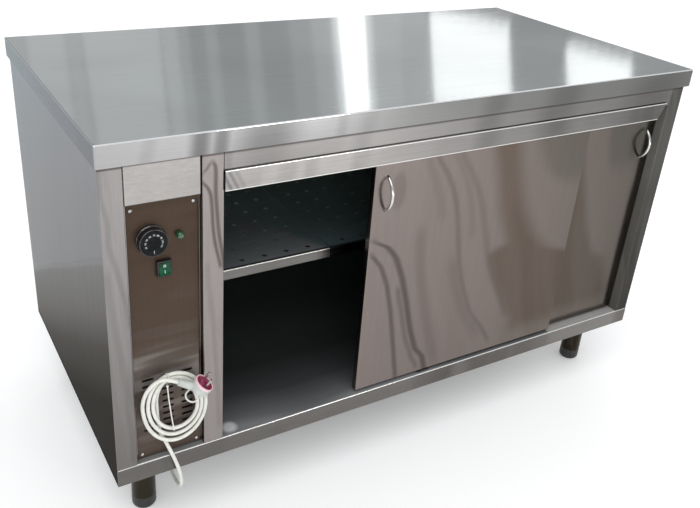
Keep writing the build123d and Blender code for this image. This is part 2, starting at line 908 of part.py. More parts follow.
lens_rise = lamp_height - lamp_flange - lamp_collar
lens_radius = (lamp_radius**2 + lens_rise**2) / (2 * lens_rise)
lens_at = (lamp_at[0], panel_y - lamp_flange, lamp_at[1])
with BuildPart() as pilot_lamp_lens:
    with BuildSketch(Plane(lens_at, x_dir=(1, 0, 0), z_dir=(0, 0, 1))):
        with BuildLine():
            collar = Polyline((0, 0), (lamp_radius, 0), (lamp_radius, -lamp_collar))
            dome = RadiusArc(collar @ 1, (0, -lamp_collar - lens_rise), lens_radius)
            Line(dome @ 1, collar @ 0)
        make_face()
    revolve(axis=Axis(lens_at, (0, 1, 0)))
save(pilot_lamp_lens, "pilot_lamp_lens")

# Rocker switch: a snap-in housing with a pocket, and the rocker on two short pins
pocket_width = switch_width - 2 * switch_wall
pocket_height = switch_height - 2 * switch_wall
pivot = (switch_at[0], panel_y - switch_pivot, switch_at[1])
pin_reach = pocket_width / 2 + rocker_pin_length
with BuildPart() as switch_housing:
    with Locations((switch_at[0], panel_y, switch_at[1])):
        Box(switch_width, switch_proud, switch_height, align=(Align.CENTER, Align.MAX, Align.CENTER))
        Box(cutout_width, switch_body_depth, cutout_height, align=(Align.CENTER, Align.MIN, Align.CENTER))
    fillet(switch_housing.faces().sort_by(Axis.Y)[0].edges(), radius=switch_round)
    with Locations((switch_at[0], panel_y - switch_proud, switch_at[1])):
        Box(
            pocket_width,
            pocket_depth,
            pocket_height,
            align=(Align.CENTER, Align.MIN, Align.CENTER),
            mode=Mode.SUBTRACT,
        )
    with Locations(Location(pivot, (0, 90, 0))):
        Cylinder(rocker_pin_diameter / 2 + run_gap, 2 * (pin_reach + fit_gap), mode=Mode.SUBTRACT)
save(switch_housing, "switch_housing")

rocker_end = switch_proud - switch_pivot + rocker_rise
tilt = radians(rocker_tilt)
rocker_half = pocket_height / 2 - rocker_gap - rocker_end * sin(tilt)
rocker_plane = Plane(pivot, x_dir=(0, -cos(tilt), sin(tilt)), z_dir=(-1, 0, 0))
with BuildPart() as switch_rocker:
    with BuildSketch(rocker_plane.offset(-pocket_width / 2 + rocker_gap)):
        with BuildLine():
            sides = Polyline(
                (rocker_end, rocker_half),
                (-rocker_back, rocker_half),
                (-rocker_back, -rocker_half),
                (rocker_end, -rocker_half),
            )
            ThreePointArc(sides @ 1, (rocker_end - rocker_dish, 0), sides @ 0)
        make_face()
    extrude(amount=pocket_width - 2 * rocker_gap)
    fillet(switch_rocker.faces().sort_by(Axis.Y)[0].edges(), radius=rocker_round)
    with Locations(Location(pivot, (0, 90, 0))):
        Cylinder(rocker_pin_diameter / 2, 2 * pin_reach)
save(switch_rocker, "switch_rocker")

# Fan in the column: a plate across it, the motor through the plate, and an axial impeller in front
fan_at = (column_mid, floor_z + fan_height)
plate_face = front_y + fan_plate_depth
column_left = -body_x + body_sheet
column_right = cup_x0 - body_sheet
with BuildPart() as fan_plate:
    with Locations((column_left, plate_face, floor_z)):
        Box(column_right - column_left, body_sheet, fan_plate_height, align=corner)
    with BuildSketch(Plane.XZ.offset(-plate_face)):
        with Locations(fan_at):
            Circle(motor_diameter / 2 + motor_clear)
            with PolarLocations(fan_air_circle / 2, fan_air_count):
                Circle(fan_air_hole / 2)
    extrude(amount=-body_sheet, mode=Mode.SUBTRACT)
save(fan_plate, "fan_plate")

spindle_bore = spindle_diameter / 2 + run_gap
motor_outline = [
    (spindle_bore, motor_front),
    (motor_diameter / 2, motor_front),
    (motor_diameter / 2, motor_flange_thick),
    (motor_flange / 2, motor_flange_thick),
    (motor_flange / 2, 0),
    (motor_diameter / 2, 0),
    (motor_diameter / 2, -motor_rear),
    (0, -motor_rear),
    (0, motor_front - spindle_depth),
    (spindle_bore, motor_front - spindle_depth),
]
with BuildPart() as fan_motor:
    with Locations(facing_front(fan_at[0], plate_face, fan_at[1])):
        add(turned(motor_outline))
save(fan_motor, "fan_motor")

hub_low = motor_front + impeller_gap
with BuildPart() as fan_impeller:
    with Locations(facing_front(fan_at[0], plate_face - hub_low, fan_at[1])):
        Cylinder(impeller_hub / 2, impeller_width, align=low)
        with PolarLocations(0, impeller_blades):
            with Locations(Location((0, 0, impeller_width / 2), (blade_angle, 0, 0))):
                Box(
                    impeller_diameter / 2,
                    blade_chord,
                    blade_sheet,
                    align=(Align.MIN, Align.CENTER, Align.CENTER),
                )
    with BuildSketch(Plane.XZ.offset(-plate_face + hub_low)):
        with Locations(fan_at):
            Circle(spindle_diameter / 2)
    extrude(amount=-(impeller_gap + spindle_depth - fit_gap))
save(fan_impeller, "fan_impeller")

# Tubular heating element: upright loops held on two bars across the column
heater_y = front_y + heater_depth
heater_x = [column_mid + (i - (heater_legs - 1) / 2) * heater_pitch for i in range(heater_legs)]
heater_line = []
for i, x in enumerate(heater_x):
    ends = [(x, floor_z + heater_low), (x, floor_z + heater_high)]
    heater_line += ends if i % 2 == 0 else ends[::-1]
with BuildPart() as heating_element:
    with BuildLine(Plane.XZ.offset(-heater_y)) as loops:
        FilletPolyline(*heater_line, radius=heater_pitch * heater_bend)
    with BuildSketch(Plane((heater_x[0], heater_y, floor_z + heater_low))):
        Circle(heater_tube / 2)
    sweep(path=loops.wires()[0])
save(heating_element, "heating_element")

with BuildPart() as heater_brackets:
    for height in (heater_low + heater_bar_inset, heater_high - heater_bar_inset):
        with Locations((column_left, heater_y + heater_tube / 2 + fit_gap, floor_z + height)):
            Box(column_right - column_left, heater_bar_thick, heater_bar, align=corner)
save(heater_brackets, "heater_brackets")

# Terminal block on the floor of the column
with BuildPart() as terminal_block:
    with Locations((column_mid, front_y + terminal_back, floor_z)):
        Box(terminal_length, terminal_depth, terminal_height, align=low)
    with BuildSketch(Plane.XY.offset(floor_z + terminal_height)):
        with Locations((column_mid, front_y + terminal_back)):
            with GridLocations(terminal_length / terminal_poles, terminal_depth / 2, terminal_poles, 2):
                Circle(terminal_hole / 2)
    extrude(amount=-terminal_height / 2, mode=Mode.SUBTRACT)
save(terminal_block, "terminal_block")

# Channels under the floor that carry the legs, two along the depth
leg_x = body_x - leg_inset_x
leg_y = back_y - leg_inset_y
channel_low = leg_height
channel_height = floor_z - body_sheet - channel_low
channel_line = [
    (-channel_width / 2, channel_height),
    (-channel_width / 2, 0),
    (channel_width / 2, 0),
    (channel_width / 2, channel_height),
]
channel_length = 2 * (back_y - floor_return - channel_end_gap)
with BuildPart() as leg_channels:
    with BuildSketch(Plane.XZ.offset(-channel_length / 2)):
        with Locations((-leg_x, channel_low), (leg_x, channel_low)):
            add(fold(channel_line, channel_sheet, Side.LEFT))
    extrude(amount=channel_length)
save(leg_channels, "leg_channels")

# Legs: round tube with a flange above and a bored plug at the foot
plug_low = foot_height + fit_gap
leg_radius = leg_diameter / 2
stem_bore = foot_stem / 2 + run_gap
leg_outline = [
    (stem_bore, plug_low),
    (leg_radius, plug_low),
    (leg_radius, leg_height - leg_flange_thick),
    (leg_flange_diameter / 2, leg_height - leg_flange_thick),
    (leg_flange_diameter / 2, leg_height),
    (leg_radius - leg_wall, leg_height),
    (leg_radius - leg_wall, plug_low + leg_plug),
    (stem_bore, plug_low + leg_plug),
]
leg_spots = {
    "front_left": (-leg_x, -leg_y),
    "front_right": (leg_x, -leg_y),
    "rear_left": (-leg_x, leg_y),
    "rear_right": (leg_x, leg_y),
}
with BuildPart() as legs:
    with Locations(*leg_spots.values()):
        add(turned(leg_outline))
save(legs, "legs")

# Screw-in feet, rounded below
foot_outline = [
    (0, 0),
    (leg_radius, 0),
    (leg_radius, foot_height),
    (foot_stem / 2, foot_height),
    (foot_stem / 2, foot_height + foot_stem_length),
    (0, foot_height + foot_stem_length),
]
for place, spot in leg_spots.items():
    with BuildPart() as foot:
        with Locations(spot):
            add(turned(foot_outline))
        fillet(foot.faces().sort_by(Axis.Z)[0].edges(), radius=foot_round)
    save(foot, f"foot_{place}")

# Cable gland through the floor: nut above, hexagon and tapered nozzle below
gland_seat = floor_z - body_sheet
gland_end = gland_seat - gland_nozzle
gland_outline = [
    (0, gland_end),
    (gland_tip / 2, gland_end),
    (gland_hex / 2 - gland_shoulder, gland_seat - gland_hex_height),
    (gland_thread / 2, gland_seat),
    (gland_thread / 2, floor_z + gland_nut_height),
    (0, floor_z + gland_nut_height),
]
with BuildPart() as cable_gland:
    with Locations(gland_at):
        add(turned(gland_outline))
    with BuildSketch(Plane.XY.offset(gland_seat)):
        with Locations(gland_at):
            RegularPolygon(gland_hex / 2, 6)
    extrude(amount=-gland_hex_height)
    with BuildSketch(Plane.XY.offset(floor_z)):
        with Locations(gland_at):
            RegularPolygon(gland_hex / 2, 6)
    extrude(amount=gland_nut_height)
save(cable_gland, "cable_gland")

# Plug: round angled body with a recessed coloured face, two pins and a pull ring
face_dir = Vector(*plug_axis).normalized()
neck_dir = Vector(*neck_axis).normalized()
hang = Vector(column_mid, front_y, floor_z)
plug_face_at = hang + Vector(*plug_face_point)
plug_back_at = plug_face_at - face_dir * plug_length
neck_at = plug_face_at - face_dir * neck_behind
neck_end_at = neck_at - neck_dir * neck_length
with BuildPart() as plug_body:
    with BuildSketch(Plane(plug_back_at, z_dir=face_dir)):
        Circle(plug_diameter / 2)
    extrude(amount=plug_length)
    back_edge = plug_body.faces().filter_by(GeomType.PLANE).sort_by_distance(plug_back_at)[0].edges()
    fillet(back_edge, radius=plug_back_round)
    with BuildSketch(Plane(neck_at - neck_dir * neck_start, z_dir=-neck_dir)):
        Circle(neck_root / 2)
    with BuildSketch(Plane(neck_end_at, z_dir=-neck_dir)):
        Circle(neck_end / 2)
    loft()
    with BuildSketch(Plane(plug_face_at, z_dir=face_dir)):
        Circle(plug_diameter / 2 - plug_rim)
    extrude(amount=-plug_recess, mode=Mode.SUBTRACT)
save(plug_body, "plug_body")

insert_at = plug_face_at - face_dir * (plug_recess - plug_face_thick)
with BuildPart() as plug_face:
    with BuildSketch(Plane(insert_at, z_dir=face_dir)):
        Circle(plug_diameter / 2 - plug_rim - run_gap)
    extrude(amount=-plug_face_thick)
save(plug_face, "plug_face")

with BuildPart() as plug_pins:
    with BuildSketch(Plane(insert_at, x_dir=pin_row, z_dir=face_dir)):
        with GridLocations(pin_pitch, 1, 2, 1):
            Circle(pin_diameter / 2)
    extrude(amount=pin_length)
    tips = plug_pins.faces().filter_by(GeomType.PLANE).sort_by(Axis(insert_at, face_dir))[-2:]
    fillet(tips.edges(), radius=pin_round)
save(plug_pins, "plug_pins")

ring_normal = Vector(*ring_axis).normalized()
ring_radius = (ring_width - ring_wire) / 2
with BuildPart() as plug_ring:
    with BuildLine(Plane(plug_back_at - face_dir * ring_drop, x_dir=face_dir, z_dir=ring_normal)) as loop:
        arm = Line((ring_drop + plug_back_round, ring_radius), (ring_radius, ring_radius))
        bow = ThreePointArc(arm @ 1, (0, 0), (ring_radius, -ring_radius))
        Line(bow @ 1, (ring_drop + plug_back_round, -ring_radius))
    with BuildSketch(Plane(arm @ 0, z_dir=arm % 0)):
        Circle(ring_wire / 2)
    sweep(path=loop.wires()[0])
    add(plug_body.part, mode=Mode.SUBTRACT)
save(plug_ring, "plug_ring")

# Hung coil: one tube wound on quarter turns, spiralling inwards and ending behind its own turns
coil_y = front_y - coil_front
behind_y = coil_y + coil_layer
left, right, up, down = Vector(-1, 0, 0), Vector(1, 0, 0), Vector(0, 0, 1), Vector(0, 0, -1)
first_at = neck_end_at - neck_dir * cord_diameter
cord_points = [hang + Vector(*point) for point in cord_route]
cord_points.append(Vector(*gland_at, gland_end - gland_lead))
cord_points.append(Vector(*gland_at, gland_end))
exit_dir = (cord_points[1] - cord_points[0]).normalized()
last_at = cord_points[0] - exit_dir * cord_diameter
stations = [(first_at, neck_dir * -1)]
for step in reversed(range(coil_turns)):
    left_x = column_mid + coil_left - step * coil_left_step
    left_z = floor_z + coil_left_z - step * coil_left_drop
    stations.append((Vector(left_x, coil_y, left_z), down))
    low_x = column_mid + coil_low_x - step * coil_low_shift
    low_z = floor_z + coil_low - step * coil_low_step
    stations.append((Vector(low_x, coil_y, low_z), right))
    right_x = column_mid + coil_right + step * coil_right_step
    right_z = floor_z + coil_right_z + step * coil_right_rise
    stations.append((Vector(right_x, coil_y, right_z), up))
    if step > 0:
        top_z = floor_z + coil_high + step * coil_high_step
        stations.append((Vector(column_mid + coil_top_x, coil_y, top_z), left))
stations.append((Vector(column_mid + coil_top_x, behind_y, floor_z + coil_behind_z), left))
stations.append((Vector(column_mid + coil_left, behind_y, floor_z + coil_left_z), down))
stations.append((last_at, exit_dir))


def arc_joint(start, start_dir, end, end_dir):
    """Point and direction where two tangent arcs meet between two stations."""
    span = end - start
    along = start_dir + end_dir
    spread = 2 * (1 - start_dir.dot(end_dir))
    reach = (sqrt(span.dot(along) ** 2 + spread * span.dot(span)) - span.dot(along)) / spread
    first = start + start_dir * reach
    second = end - end_dir * reach
    return (first + second) * 0.5, (second - first).normalized()


with BuildPart() as cord_coil:
    with BuildLine() as turns:
        Line(neck_end_at, first_at)
        for (start, start_dir), (end, end_dir) in zip(stations, stations[1:]):
            joint, joint_dir = arc_joint(start, start_dir, end, end_dir)
            TangentArc(start, joint, tangent=start_dir)
            TangentArc(joint, end, tangent=joint_dir)
        Line(last_at, cord_points[0])
    with BuildSketch(Plane(neck_end_at, z_dir=neck_dir * -1)):
        Circle(cord_diameter / 2)
    sweep(path=turns.wires()[0])
save(cord_coil, "cord_coil")

coil_wire = turns.wires()[0]
coil_length = coil_wire.length
samples = int(coil_length / coil_sample)
coil_points = [coil_wire.position_at(i / samples) for i in range(samples + 1)]
apart = int(coil_same_turn / coil_sample)
least = min(
    (coil_points[i] - coil_points[j]).length
    for i in range(samples + 1)
    for j in range(i + apart, samples + 1)
)
print(f"coil length {coil_length:.1f}, least gap to itself {least - cord_diameter:.2f}")

# Free stretch of the mains lead: straight runs joined by arcs, from the coil to the gland
runs = [(b - a).length for a, b in zip(cord_points, cord_points[1:])]
cord_radii = []
for i in range(1, len(cord_points) - 1):
    turn_angle = (cord_points[i] - cord_points[i - 1]).get_angle(cord_points[i + 1] - cord_points[i])
    cord_radii.append(arc_share * min(runs[i - 1], runs[i]) / tan(radians(turn_angle / 2)))
with BuildPart() as mains_cord:
    with BuildLine() as lead:
        FilletPolyline(*cord_points, radius=cord_radii)
    with BuildSketch(Plane(cord_points[0], z_dir=exit_dir)):
        Circle(cord_diameter / 2)
    sweep(path=lead.wires()[0])
save(mains_cord, "mains_cord")
lead_length = lead.wires()[0].length
lead_volume = pi * cord_diameter**2 / 4 * lead_length
print("cord radii", [round(r, 1) for r in cord_radii], "runs", [round(r, 1) for r in runs])
print(f"cord length {lead_length:.1f}, volume share {mains_cord.part.volume / lead_volume:.4f}")

# Cable tie: a band round the strands at the top left of the coil, its head and its loose tail
tie_mid = hang + Vector(*tie_point)
tie_dir = Vector(*tie_axis).normalized()
deep = Vector(0, 1, 0)
across = tie_dir.cross(deep)
tied = [p - tie_mid for p in coil_points if abs((p - tie_mid).dot(tie_dir)) < tie_width / 2]
tied = [p for p in tied if p.length < tie_reach]
depths = [p.dot(deep) for p in tied]
heights = [p.dot(across) for p in tied]
band_depth = max(depths) - min(depths) + cord_diameter + 2 * tie_clear
band_height = max(heights) - min(heights) + cord_diameter + 2 * tie_clear
band_at = tie_mid + deep * ((max(depths) + min(depths)) / 2) + across * ((max(heights) + min(heights)) / 2)
lower = 1 if across.Z < 0 else -1
head_at = band_at + across * (lower * (band_height + tie_thick) / 2) - deep * (band_depth / 2 - tie_head)
tail_end_at = hang + Vector(*tie_tail_end)
tail_dir = (tail_end_at - head_at).normalized()
with BuildPart() as cable_tie:
    with BuildSketch(Plane(band_at - tie_dir * (tie_width / 2), x_dir=deep, z_dir=tie_dir)):
        RectangleRounded(band_depth + 2 * tie_thick, band_height + 2 * tie_thick, tie_round + tie_thick)
        RectangleRounded(band_depth, band_height, tie_round, mode=Mode.SUBTRACT)
    extrude(amount=tie_width)
    with BuildSketch(Plane(head_at, x_dir=(1, 0, 0), z_dir=tail_dir)):
        Rectangle(tie_head, tie_head)
    extrude(amount=tie_head)
    with BuildSketch(Plane(head_at, x_dir=(1, 0, 0), z_dir=tail_dir)):
        Rectangle(tie_width, tie_thick)
    extrude(amount=(tail_end_at - head_at).length)
save(cable_tie, "cable_tie")
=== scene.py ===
import math
from functools import partialmethod
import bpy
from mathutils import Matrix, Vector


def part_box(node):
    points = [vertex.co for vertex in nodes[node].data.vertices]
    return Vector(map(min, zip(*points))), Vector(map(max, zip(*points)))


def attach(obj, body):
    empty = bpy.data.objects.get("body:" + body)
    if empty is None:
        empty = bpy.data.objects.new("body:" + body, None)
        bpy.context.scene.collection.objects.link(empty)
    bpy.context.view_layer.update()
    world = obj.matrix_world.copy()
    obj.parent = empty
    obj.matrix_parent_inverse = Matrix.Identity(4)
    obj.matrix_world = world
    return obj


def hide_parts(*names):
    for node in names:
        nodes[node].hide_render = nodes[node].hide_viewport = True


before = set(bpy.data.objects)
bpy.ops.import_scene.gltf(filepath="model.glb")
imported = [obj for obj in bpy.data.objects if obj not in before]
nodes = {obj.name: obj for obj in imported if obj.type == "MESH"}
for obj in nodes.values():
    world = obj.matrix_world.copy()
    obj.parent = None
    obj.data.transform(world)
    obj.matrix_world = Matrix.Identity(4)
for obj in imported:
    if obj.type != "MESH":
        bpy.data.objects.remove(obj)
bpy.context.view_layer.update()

from types import SimpleNamespace

import bmesh
import bpy
from mathutils import Matrix, Vector


# Screw feet
# Four levelling feet: black moulded polyamide cups that screw up into the leg ends.
# They come out of the mould with a finely pitted satin skin that clouds a little.
class Value:
    """A number, colour or place that shader nodes hand on.

    The signs + - * > < and abs add nodes, and | takes the larger of two."""

    def __init__(self, tree, socket):
        self.tree, self.socket = tree, socket

    def reckon(self, operation, *others):
        return put(self.tree, "Math", {"operation": operation}, self, *others)()

    def vector(self, operation, *others, out=0, **named):
        return put(self.tree, "VectorMath", {"operation": operation}, self, *others, **named)(out)

    def noise(self, scale, detail, **named):
        return put(self.tree, "TexNoise", Vector=self, Scale=scale, Detail=detail, **named)

    __add__ = partialmethod(reckon, "ADD")
    __sub__ = partialmethod(reckon, "SUBTRACT")
    __mul__ = partialmethod(reckon, "MULTIPLY")
    __gt__ = partialmethod(reckon, "GREATER_THAN")
    __lt__ = partialmethod(reckon, "LESS_THAN")
    __or__ = partialmethod(reckon, "MAXIMUM")
    __abs__ = partialmethod(reckon, "ABSOLUTE")


def feed(socket, value):
    """Set a socket to a plain number or colour, or link it to a value."""
    if isinstance(value, Value):
        value.tree.links.new(value.socket, socket)
    else:
        socket.default_value = value


def put(tree, kind, settings=None, *placed, **named):
    """Add one shader node, with its inputs by place or by name. Calling the result picks an output."""
    made = tree.nodes.new("ShaderNode" + kind)
    for name, value in (settings or {}).items():
        setattr(made, name, value)
    for key, value in (*enumerate(placed), *named.items()):
        feed(made.inputs[key.replace("_", " ") if key in named else key], value)
    return lambda out=0: Value(tree, made.outputs[out])


def tint(share, first, second, how="MIX"):
    """Mix two colours, each a value or a plain colour."""
    tree = next(one.tree for one in (share, first, second) if isinstance(one, Value))
    made = tree.nodes.new("ShaderNodeMix")
    made.data_type, made.blend_type = "RGBA", how
    for place, value in zip((0, 6, 7), (share, first, second)):
        feed(made.inputs[place], (*value, 1.0) if isinstance(value, tuple) else value)
    return Value(tree, made.outputs[2])


def spread(value, low, high, at_low=0.0, at_high=1.0):
    """Carry a value from low..high softly to at_low..at_high."""
    return put(value.tree, "MapRange", {"interpolation_type": "SMOOTHSTEP"}, Value=value, From_Min=low,
               From_Max=high, To_Min=at_low, To_Max=at_high)()


def effect(name, takes, gives):
    """A shader node group with named inputs and their start values, and named outputs."""
    tree = bpy.data.node_groups.new(name, "ShaderNodeTree")
    for label, start in takes.items():
        kind = "NodeSocketVector" if isinstance(start, tuple) else "NodeSocketFloat"
        tree.interface.new_socket(label, in_out="INPUT", socket_type=kind).default_value = start
    for label in gives:
        tree.interface.new_socket(label, in_out="OUTPUT", socket_type="NodeSocketFloat")
    taken, given = tree.nodes.new("NodeGroupInput").outputs, tree.nodes.new("NodeGroupOutput").inputs
    return tree, {label: Value(tree, taken[label]) for label in takes}, given


def blank(name, **fixed):
    """A material, its shader's inputs with their constant values, and the place of the shaded point."""
    material = bpy.data.materials.new(name)
    material.use_nodes = True
    tree = material.node_tree
    to = tree.nodes["Principled BSDF"].inputs
    for label, value in fixed.items():
        to[label.replace("_", " ")].default_value = value
    return material, tree, to, put(tree, "TexCoord")("Object")


def dress(names, material):
    """Give CAD nodes their material."""
    for name in names.split():
        nodes[name].data.materials.clear()
        nodes[name].data.materials.append(material)


skin_tree, skin_in, skin_out = effect("moulded_skin", {"Vector": (0, 0, 0), "Pits": 1500.0}, ("Pit", "Cloud"))
feed(skin_out["Pit"], skin_in["Vector"].noise(skin_in["Pits"], 2.0)())
feed(skin_out["Cloud"], skin_in["Vector"].noise(70.0, 4.0)())


def moulded(name, colour, cloudy, rough, pits=1500.0, depth=0.00004, **fixed):
    """Moulded plastic: a colour that clouds a little, with a pitted skin."""
    material, tree, to, here = blank(name, **fixed)
    skin = put(tree, "Group", {"node_tree": skin_tree}, Vector=here, Pits=pits)
    feed(to["Base Color"], tint(spread(skin("Cloud"), 0.35, 0.65), colour, cloudy))
    feed(to["Roughness"], spread(skin("Cloud"), 0.3, 0.7, rough - 0.04, rough + 0.06))
    feed(to["Normal"], put(tree, "Bump", Strength=0.6, Distance=depth, Height=skin("Pit"))())
    return material


foot_black = moulded("foot_black", (0.012, 0.012, 0.013), (0.022, 0.021, 0.021), 0.42)
dress("foot_front_left foot_front_right foot_rear_left foot_rear_right", foot_black)


# Legs and their channels
# Round stainless tube, dull and dark, brushed along by the polishing belt, welded to two zinc coated
# channels that are screwed up under the floor.
grain_tree, grain_in, grain_out = effect(
    "brushed_grain", {"Vector": (0, 0, 0), "Run": (8, 500, 500)}, ("Grain", "Patch"))
grain_run = grain_in["Vector"].vector("MULTIPLY", grain_in["Run"])
feed(grain_out["Grain"], grain_run.noise(1.0, 4.0, Roughness=0.65)())
feed(grain_out["Patch"], grain_run.noise(0.11, 3.0)())

flow_tree, flow_in, flow_out = effect(
    "sheet_flow",
    {"Vector": (0, 0, 0), "Run": (12, 12, 0.6), "Sway": 0.2, "Sway scale": 2.6, "Lean": 0.0, "Bands": 2.4},
    ("Band", "Swell", "Drift"))
flow_sway = flow_in["Vector"].noise(flow_in["Sway scale"], 1.0)
flow_far = flow_sway("Color").vector("SUBTRACT", (0.5, 0.5, 0.5)).vector("SCALE", Scale=flow_in["Sway"])
flow_moved = put(flow_tree, "SeparateXYZ", Vector=flow_in["Vector"].vector("ADD", flow_far))
flow_leant = put(flow_tree, "CombineXYZ", X=flow_moved("Z") * flow_in["Lean"] + flow_moved("X"),
                 Y=flow_moved("Y"), Z=flow_moved("Z"))()
flow_field = flow_leant.vector("MULTIPLY", flow_in["Run"]).noise(1.0, 1.5, Roughness=0.4)()
flow_wave = (flow_field * (flow_in["Bands"] * (2 * math.pi))).reckon("SINE")
feed(flow_out["Band"], flow_wave * 0.5 + 0.5)
feed(flow_out["Swell"], flow_field)
feed(flow_out["Drift"], flow_sway())

ALONG_X, ALONG_Z, BROAD_SHARE = (10, 900, 900), (900, 900, 10), 0.3


def ramp(value, low, high, stops, smooth="LINEAR"):
    """A colour, or a grey value, that follows stops given as value and colour, between low and high."""
    made = value.tree.nodes.new("ShaderNodeValToRGB")
    feed(made.inputs[0], put(value.tree, "MapRange", Value=value, From_Min=low, From_Max=high)())
    made.color_ramp.interpolation = smooth
    line = made.color_ramp.elements
    stops = sorted(stops, key=lambda one: one[0])
    places = [(at - low) / (high - low) for at, colour in stops]
    line[0].position, line[1].position = places[0], places[-1]
    for at in places[1:-1]:
        line.new(at)
    for stop, (at, colour) in zip(sorted(line, key=lambda one: one.position), stops):
        stop.color = (*colour, 1.0) if isinstance(colour, tuple) else (colour, colour, colour, 1.0)
    return Value(value.tree, made.outputs[0])


def sheet(name, light, dark, run=ALONG_Z, flow=(12, 12, 0.6), sway=0.2, sway_scale=2.6, lean=0.0, bands=2.4,
          lines=0.8, wave=0.003, rough=0.20, fleck=0.07, scratch=0.00002, metal=1.0, edge=1.0, gloss=0.5,
          shades=(), dull=None):
    """Steel sheet: painted reflections in wavering lines, as an uneven sheet shows, brushed grain and soft
    waves.

    A shade takes the shaded point and gives a mask, a colour and, if it is no plain mix, a way to lay it over
    the tone; dull masks where the sheet is no mirror."""
    material, tree, to, here = blank(name, Metallic=metal, Specular_Tint=(edge, edge, edge, 1.0),
                                     Specular_IOR_Level=gloss)
    grain = put(tree, "Group", {"node_tree": grain_tree}, Vector=here, Run=run)
    mirror = put(tree, "Group", {"node_tree": flow_tree}, Vector=here, Run=flow, Sway=sway,
                 Sway_scale=sway_scale, Lean=lean, Bands=bands)
    axis = put(tree, "SeparateXYZ", Vector=here)
    at = SimpleNamespace(here=here, x=axis("X"), y=axis("Y"), z=axis("Z"), band=mirror("Band"),
                         drift=mirror("Drift"))
    where = spread(at.drift, 0.40, 0.60, 0.2 * lines, lines)
    tone = tint(spread(at.band, 0.35, 0.97) * where, light, dark)
    for shade in shades:
        mask, colour, *how = shade(at)
        tone = tint(mask, tone, colour, *how)
    for label, depth in (("Grain", fleck), ("Patch", BROAD_SHARE * fleck)):
        tone = tint(1.0, tone, spread(grain(label), 0.3, 0.7, 1 - depth, 1 + depth), "MULTIPLY")
    feed(to["Base Color"], tone)
    feed(to["Roughness"], spread(grain("Grain"), 0.25, 0.75, rough - 0.03, rough + 0.05))
    if dull:
        feed(to["Metallic"], spread(dull(at), 0.0, 1.0, metal, 0.15))
    swell = put(tree, "Bump", Strength=1.0, Distance=wave, Height=mirror("Swell"))()
    scored = put(tree, "Bump", Strength=0.5, Distance=scratch, Height=grain("Grain"), Normal=swell)()
    feed(to["Normal"], scored)
    return material


dress("legs", sheet(
    "leg_tube", (0.036, 0.031, 0.022), (0.022, 0.018, 0.012), flow=(60, 60, 3), wave=0.0003, rough=0.30))
zinc = sheet(
    "zinc_coating", (0.36, 0.37, 0.39), (0.28, 0.29, 0.31), run=(160, 160, 160), flow=(30, 30, 30), bands=2.0,
    wave=0.0003, rough=0.42)
dress("leg_channels", zinc)


# Floor tray
# One folded stainless tray: the cupboard floor with a deep front fold that shows as the bottom rail.
# The fold's top edge has a painted highlight; the floor is dull, with painted light beside the opening and
# painted shade at the back.
TRAY_FACE, TRAY_TOP, TRAY_OPEN, EDGE_HIGHLIGHT = -0.3385, 0.1880, 0.412, (0.80, 0.79, 0.77)
PALE_SPOT, PALE_SPOT_SIZE = (-0.456, -0.317, 0.190), 0.021


def tray_inside(at):
    return (at.y > TRAY_FACE) * (at.z > TRAY_TOP)


def tray_floor(at):
    """The floor inside: painted light in front and past TRAY_OPEN, cloudy, and painted shade towards the
    back.
    """
    deep = ramp(at.drift * 0.16 + at.y, -0.26, 0.40, [
        (-0.255, (0.26, 0.265, 0.27)), (-0.235, (0.165, 0.17, 0.175)), (-0.165, (0.062, 0.066, 0.068)),
        (-0.08, (0.034, 0.037, 0.037)), (0.05, (0.050, 0.060, 0.057)), (0.30, (0.050, 0.061, 0.058))])
    return tray_inside(at), tint(at.x > TRAY_OPEN, deep, (0.45, 0.44, 0.43))


def right_fall(*stops):
    """Painted light and shade: a tone that changes from the left end of the front to the right."""
    return lambda at: (1.0, ramp(at.x, -0.7, 0.7, stops), "MULTIPLY")


# Painted highlight along the top edge of the front fold.
def tray_edge(at):
    return (at.y < TRAY_FACE) * (at.z > TRAY_TOP), EDGE_HIGHLIGHT


def worn_spot(at):
    """A pale spot on the floor beside the middle post."""
    far = at.here.vector("DISTANCE", PALE_SPOT, out="Value")
    return spread(far, 0.4 * PALE_SPOT_SIZE, PALE_SPOT_SIZE, 0.85, 0.0), (0.80, 0.81, 0.82)


dress("floor_tray", sheet(
    "tray_sheet", (0.150, 0.142, 0.135), (0.088, 0.080, 0.075), run=ALONG_X, flow=(7, 7, 2), bands=2.0,
    wave=0.0015, rough=0.22, dull=tray_inside,
    shades=(right_fall((-0.6, 0.96), (0.6, 1.30)), tray_floor, tray_edge, worn_spot)))


# Side panels
# Left and right walls, each one sheet folded at the front into a 40 mm post. On the left wall a soft slanting
# line of painted reflection parts the cool light upper part from its darker foot, and painted shade runs
# along the bottom edge; the posts are warm grey with wavering streaks of painted reflection.
SIDE_FRONT, SIDE_FACE, SIDE_RIGHT, WALL_LINE, WALL_SLANT = -0.3385, 0.6935, 0.6, (0.456, 0.476), 0.543
WALL_LOW, RIGHT_RISE, RIGHT_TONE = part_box("left_side_panel")[0][2], 0.55, (0.37, 0.37, 0.372)


def wall_face(at):
    """A mask for the outer walls, without the posts folded in front of them."""
    return (abs(at.x) > SIDE_FACE) * (at.y > SIDE_FRONT)


def wall_rise(at):
    """The height over a line that slants down towards the back and wavers; the right wall is all above it."""
    return at.drift * 0.012 + (at.y * WALL_SLANT + ((at.x > 0.0) * RIGHT_RISE + at.z))


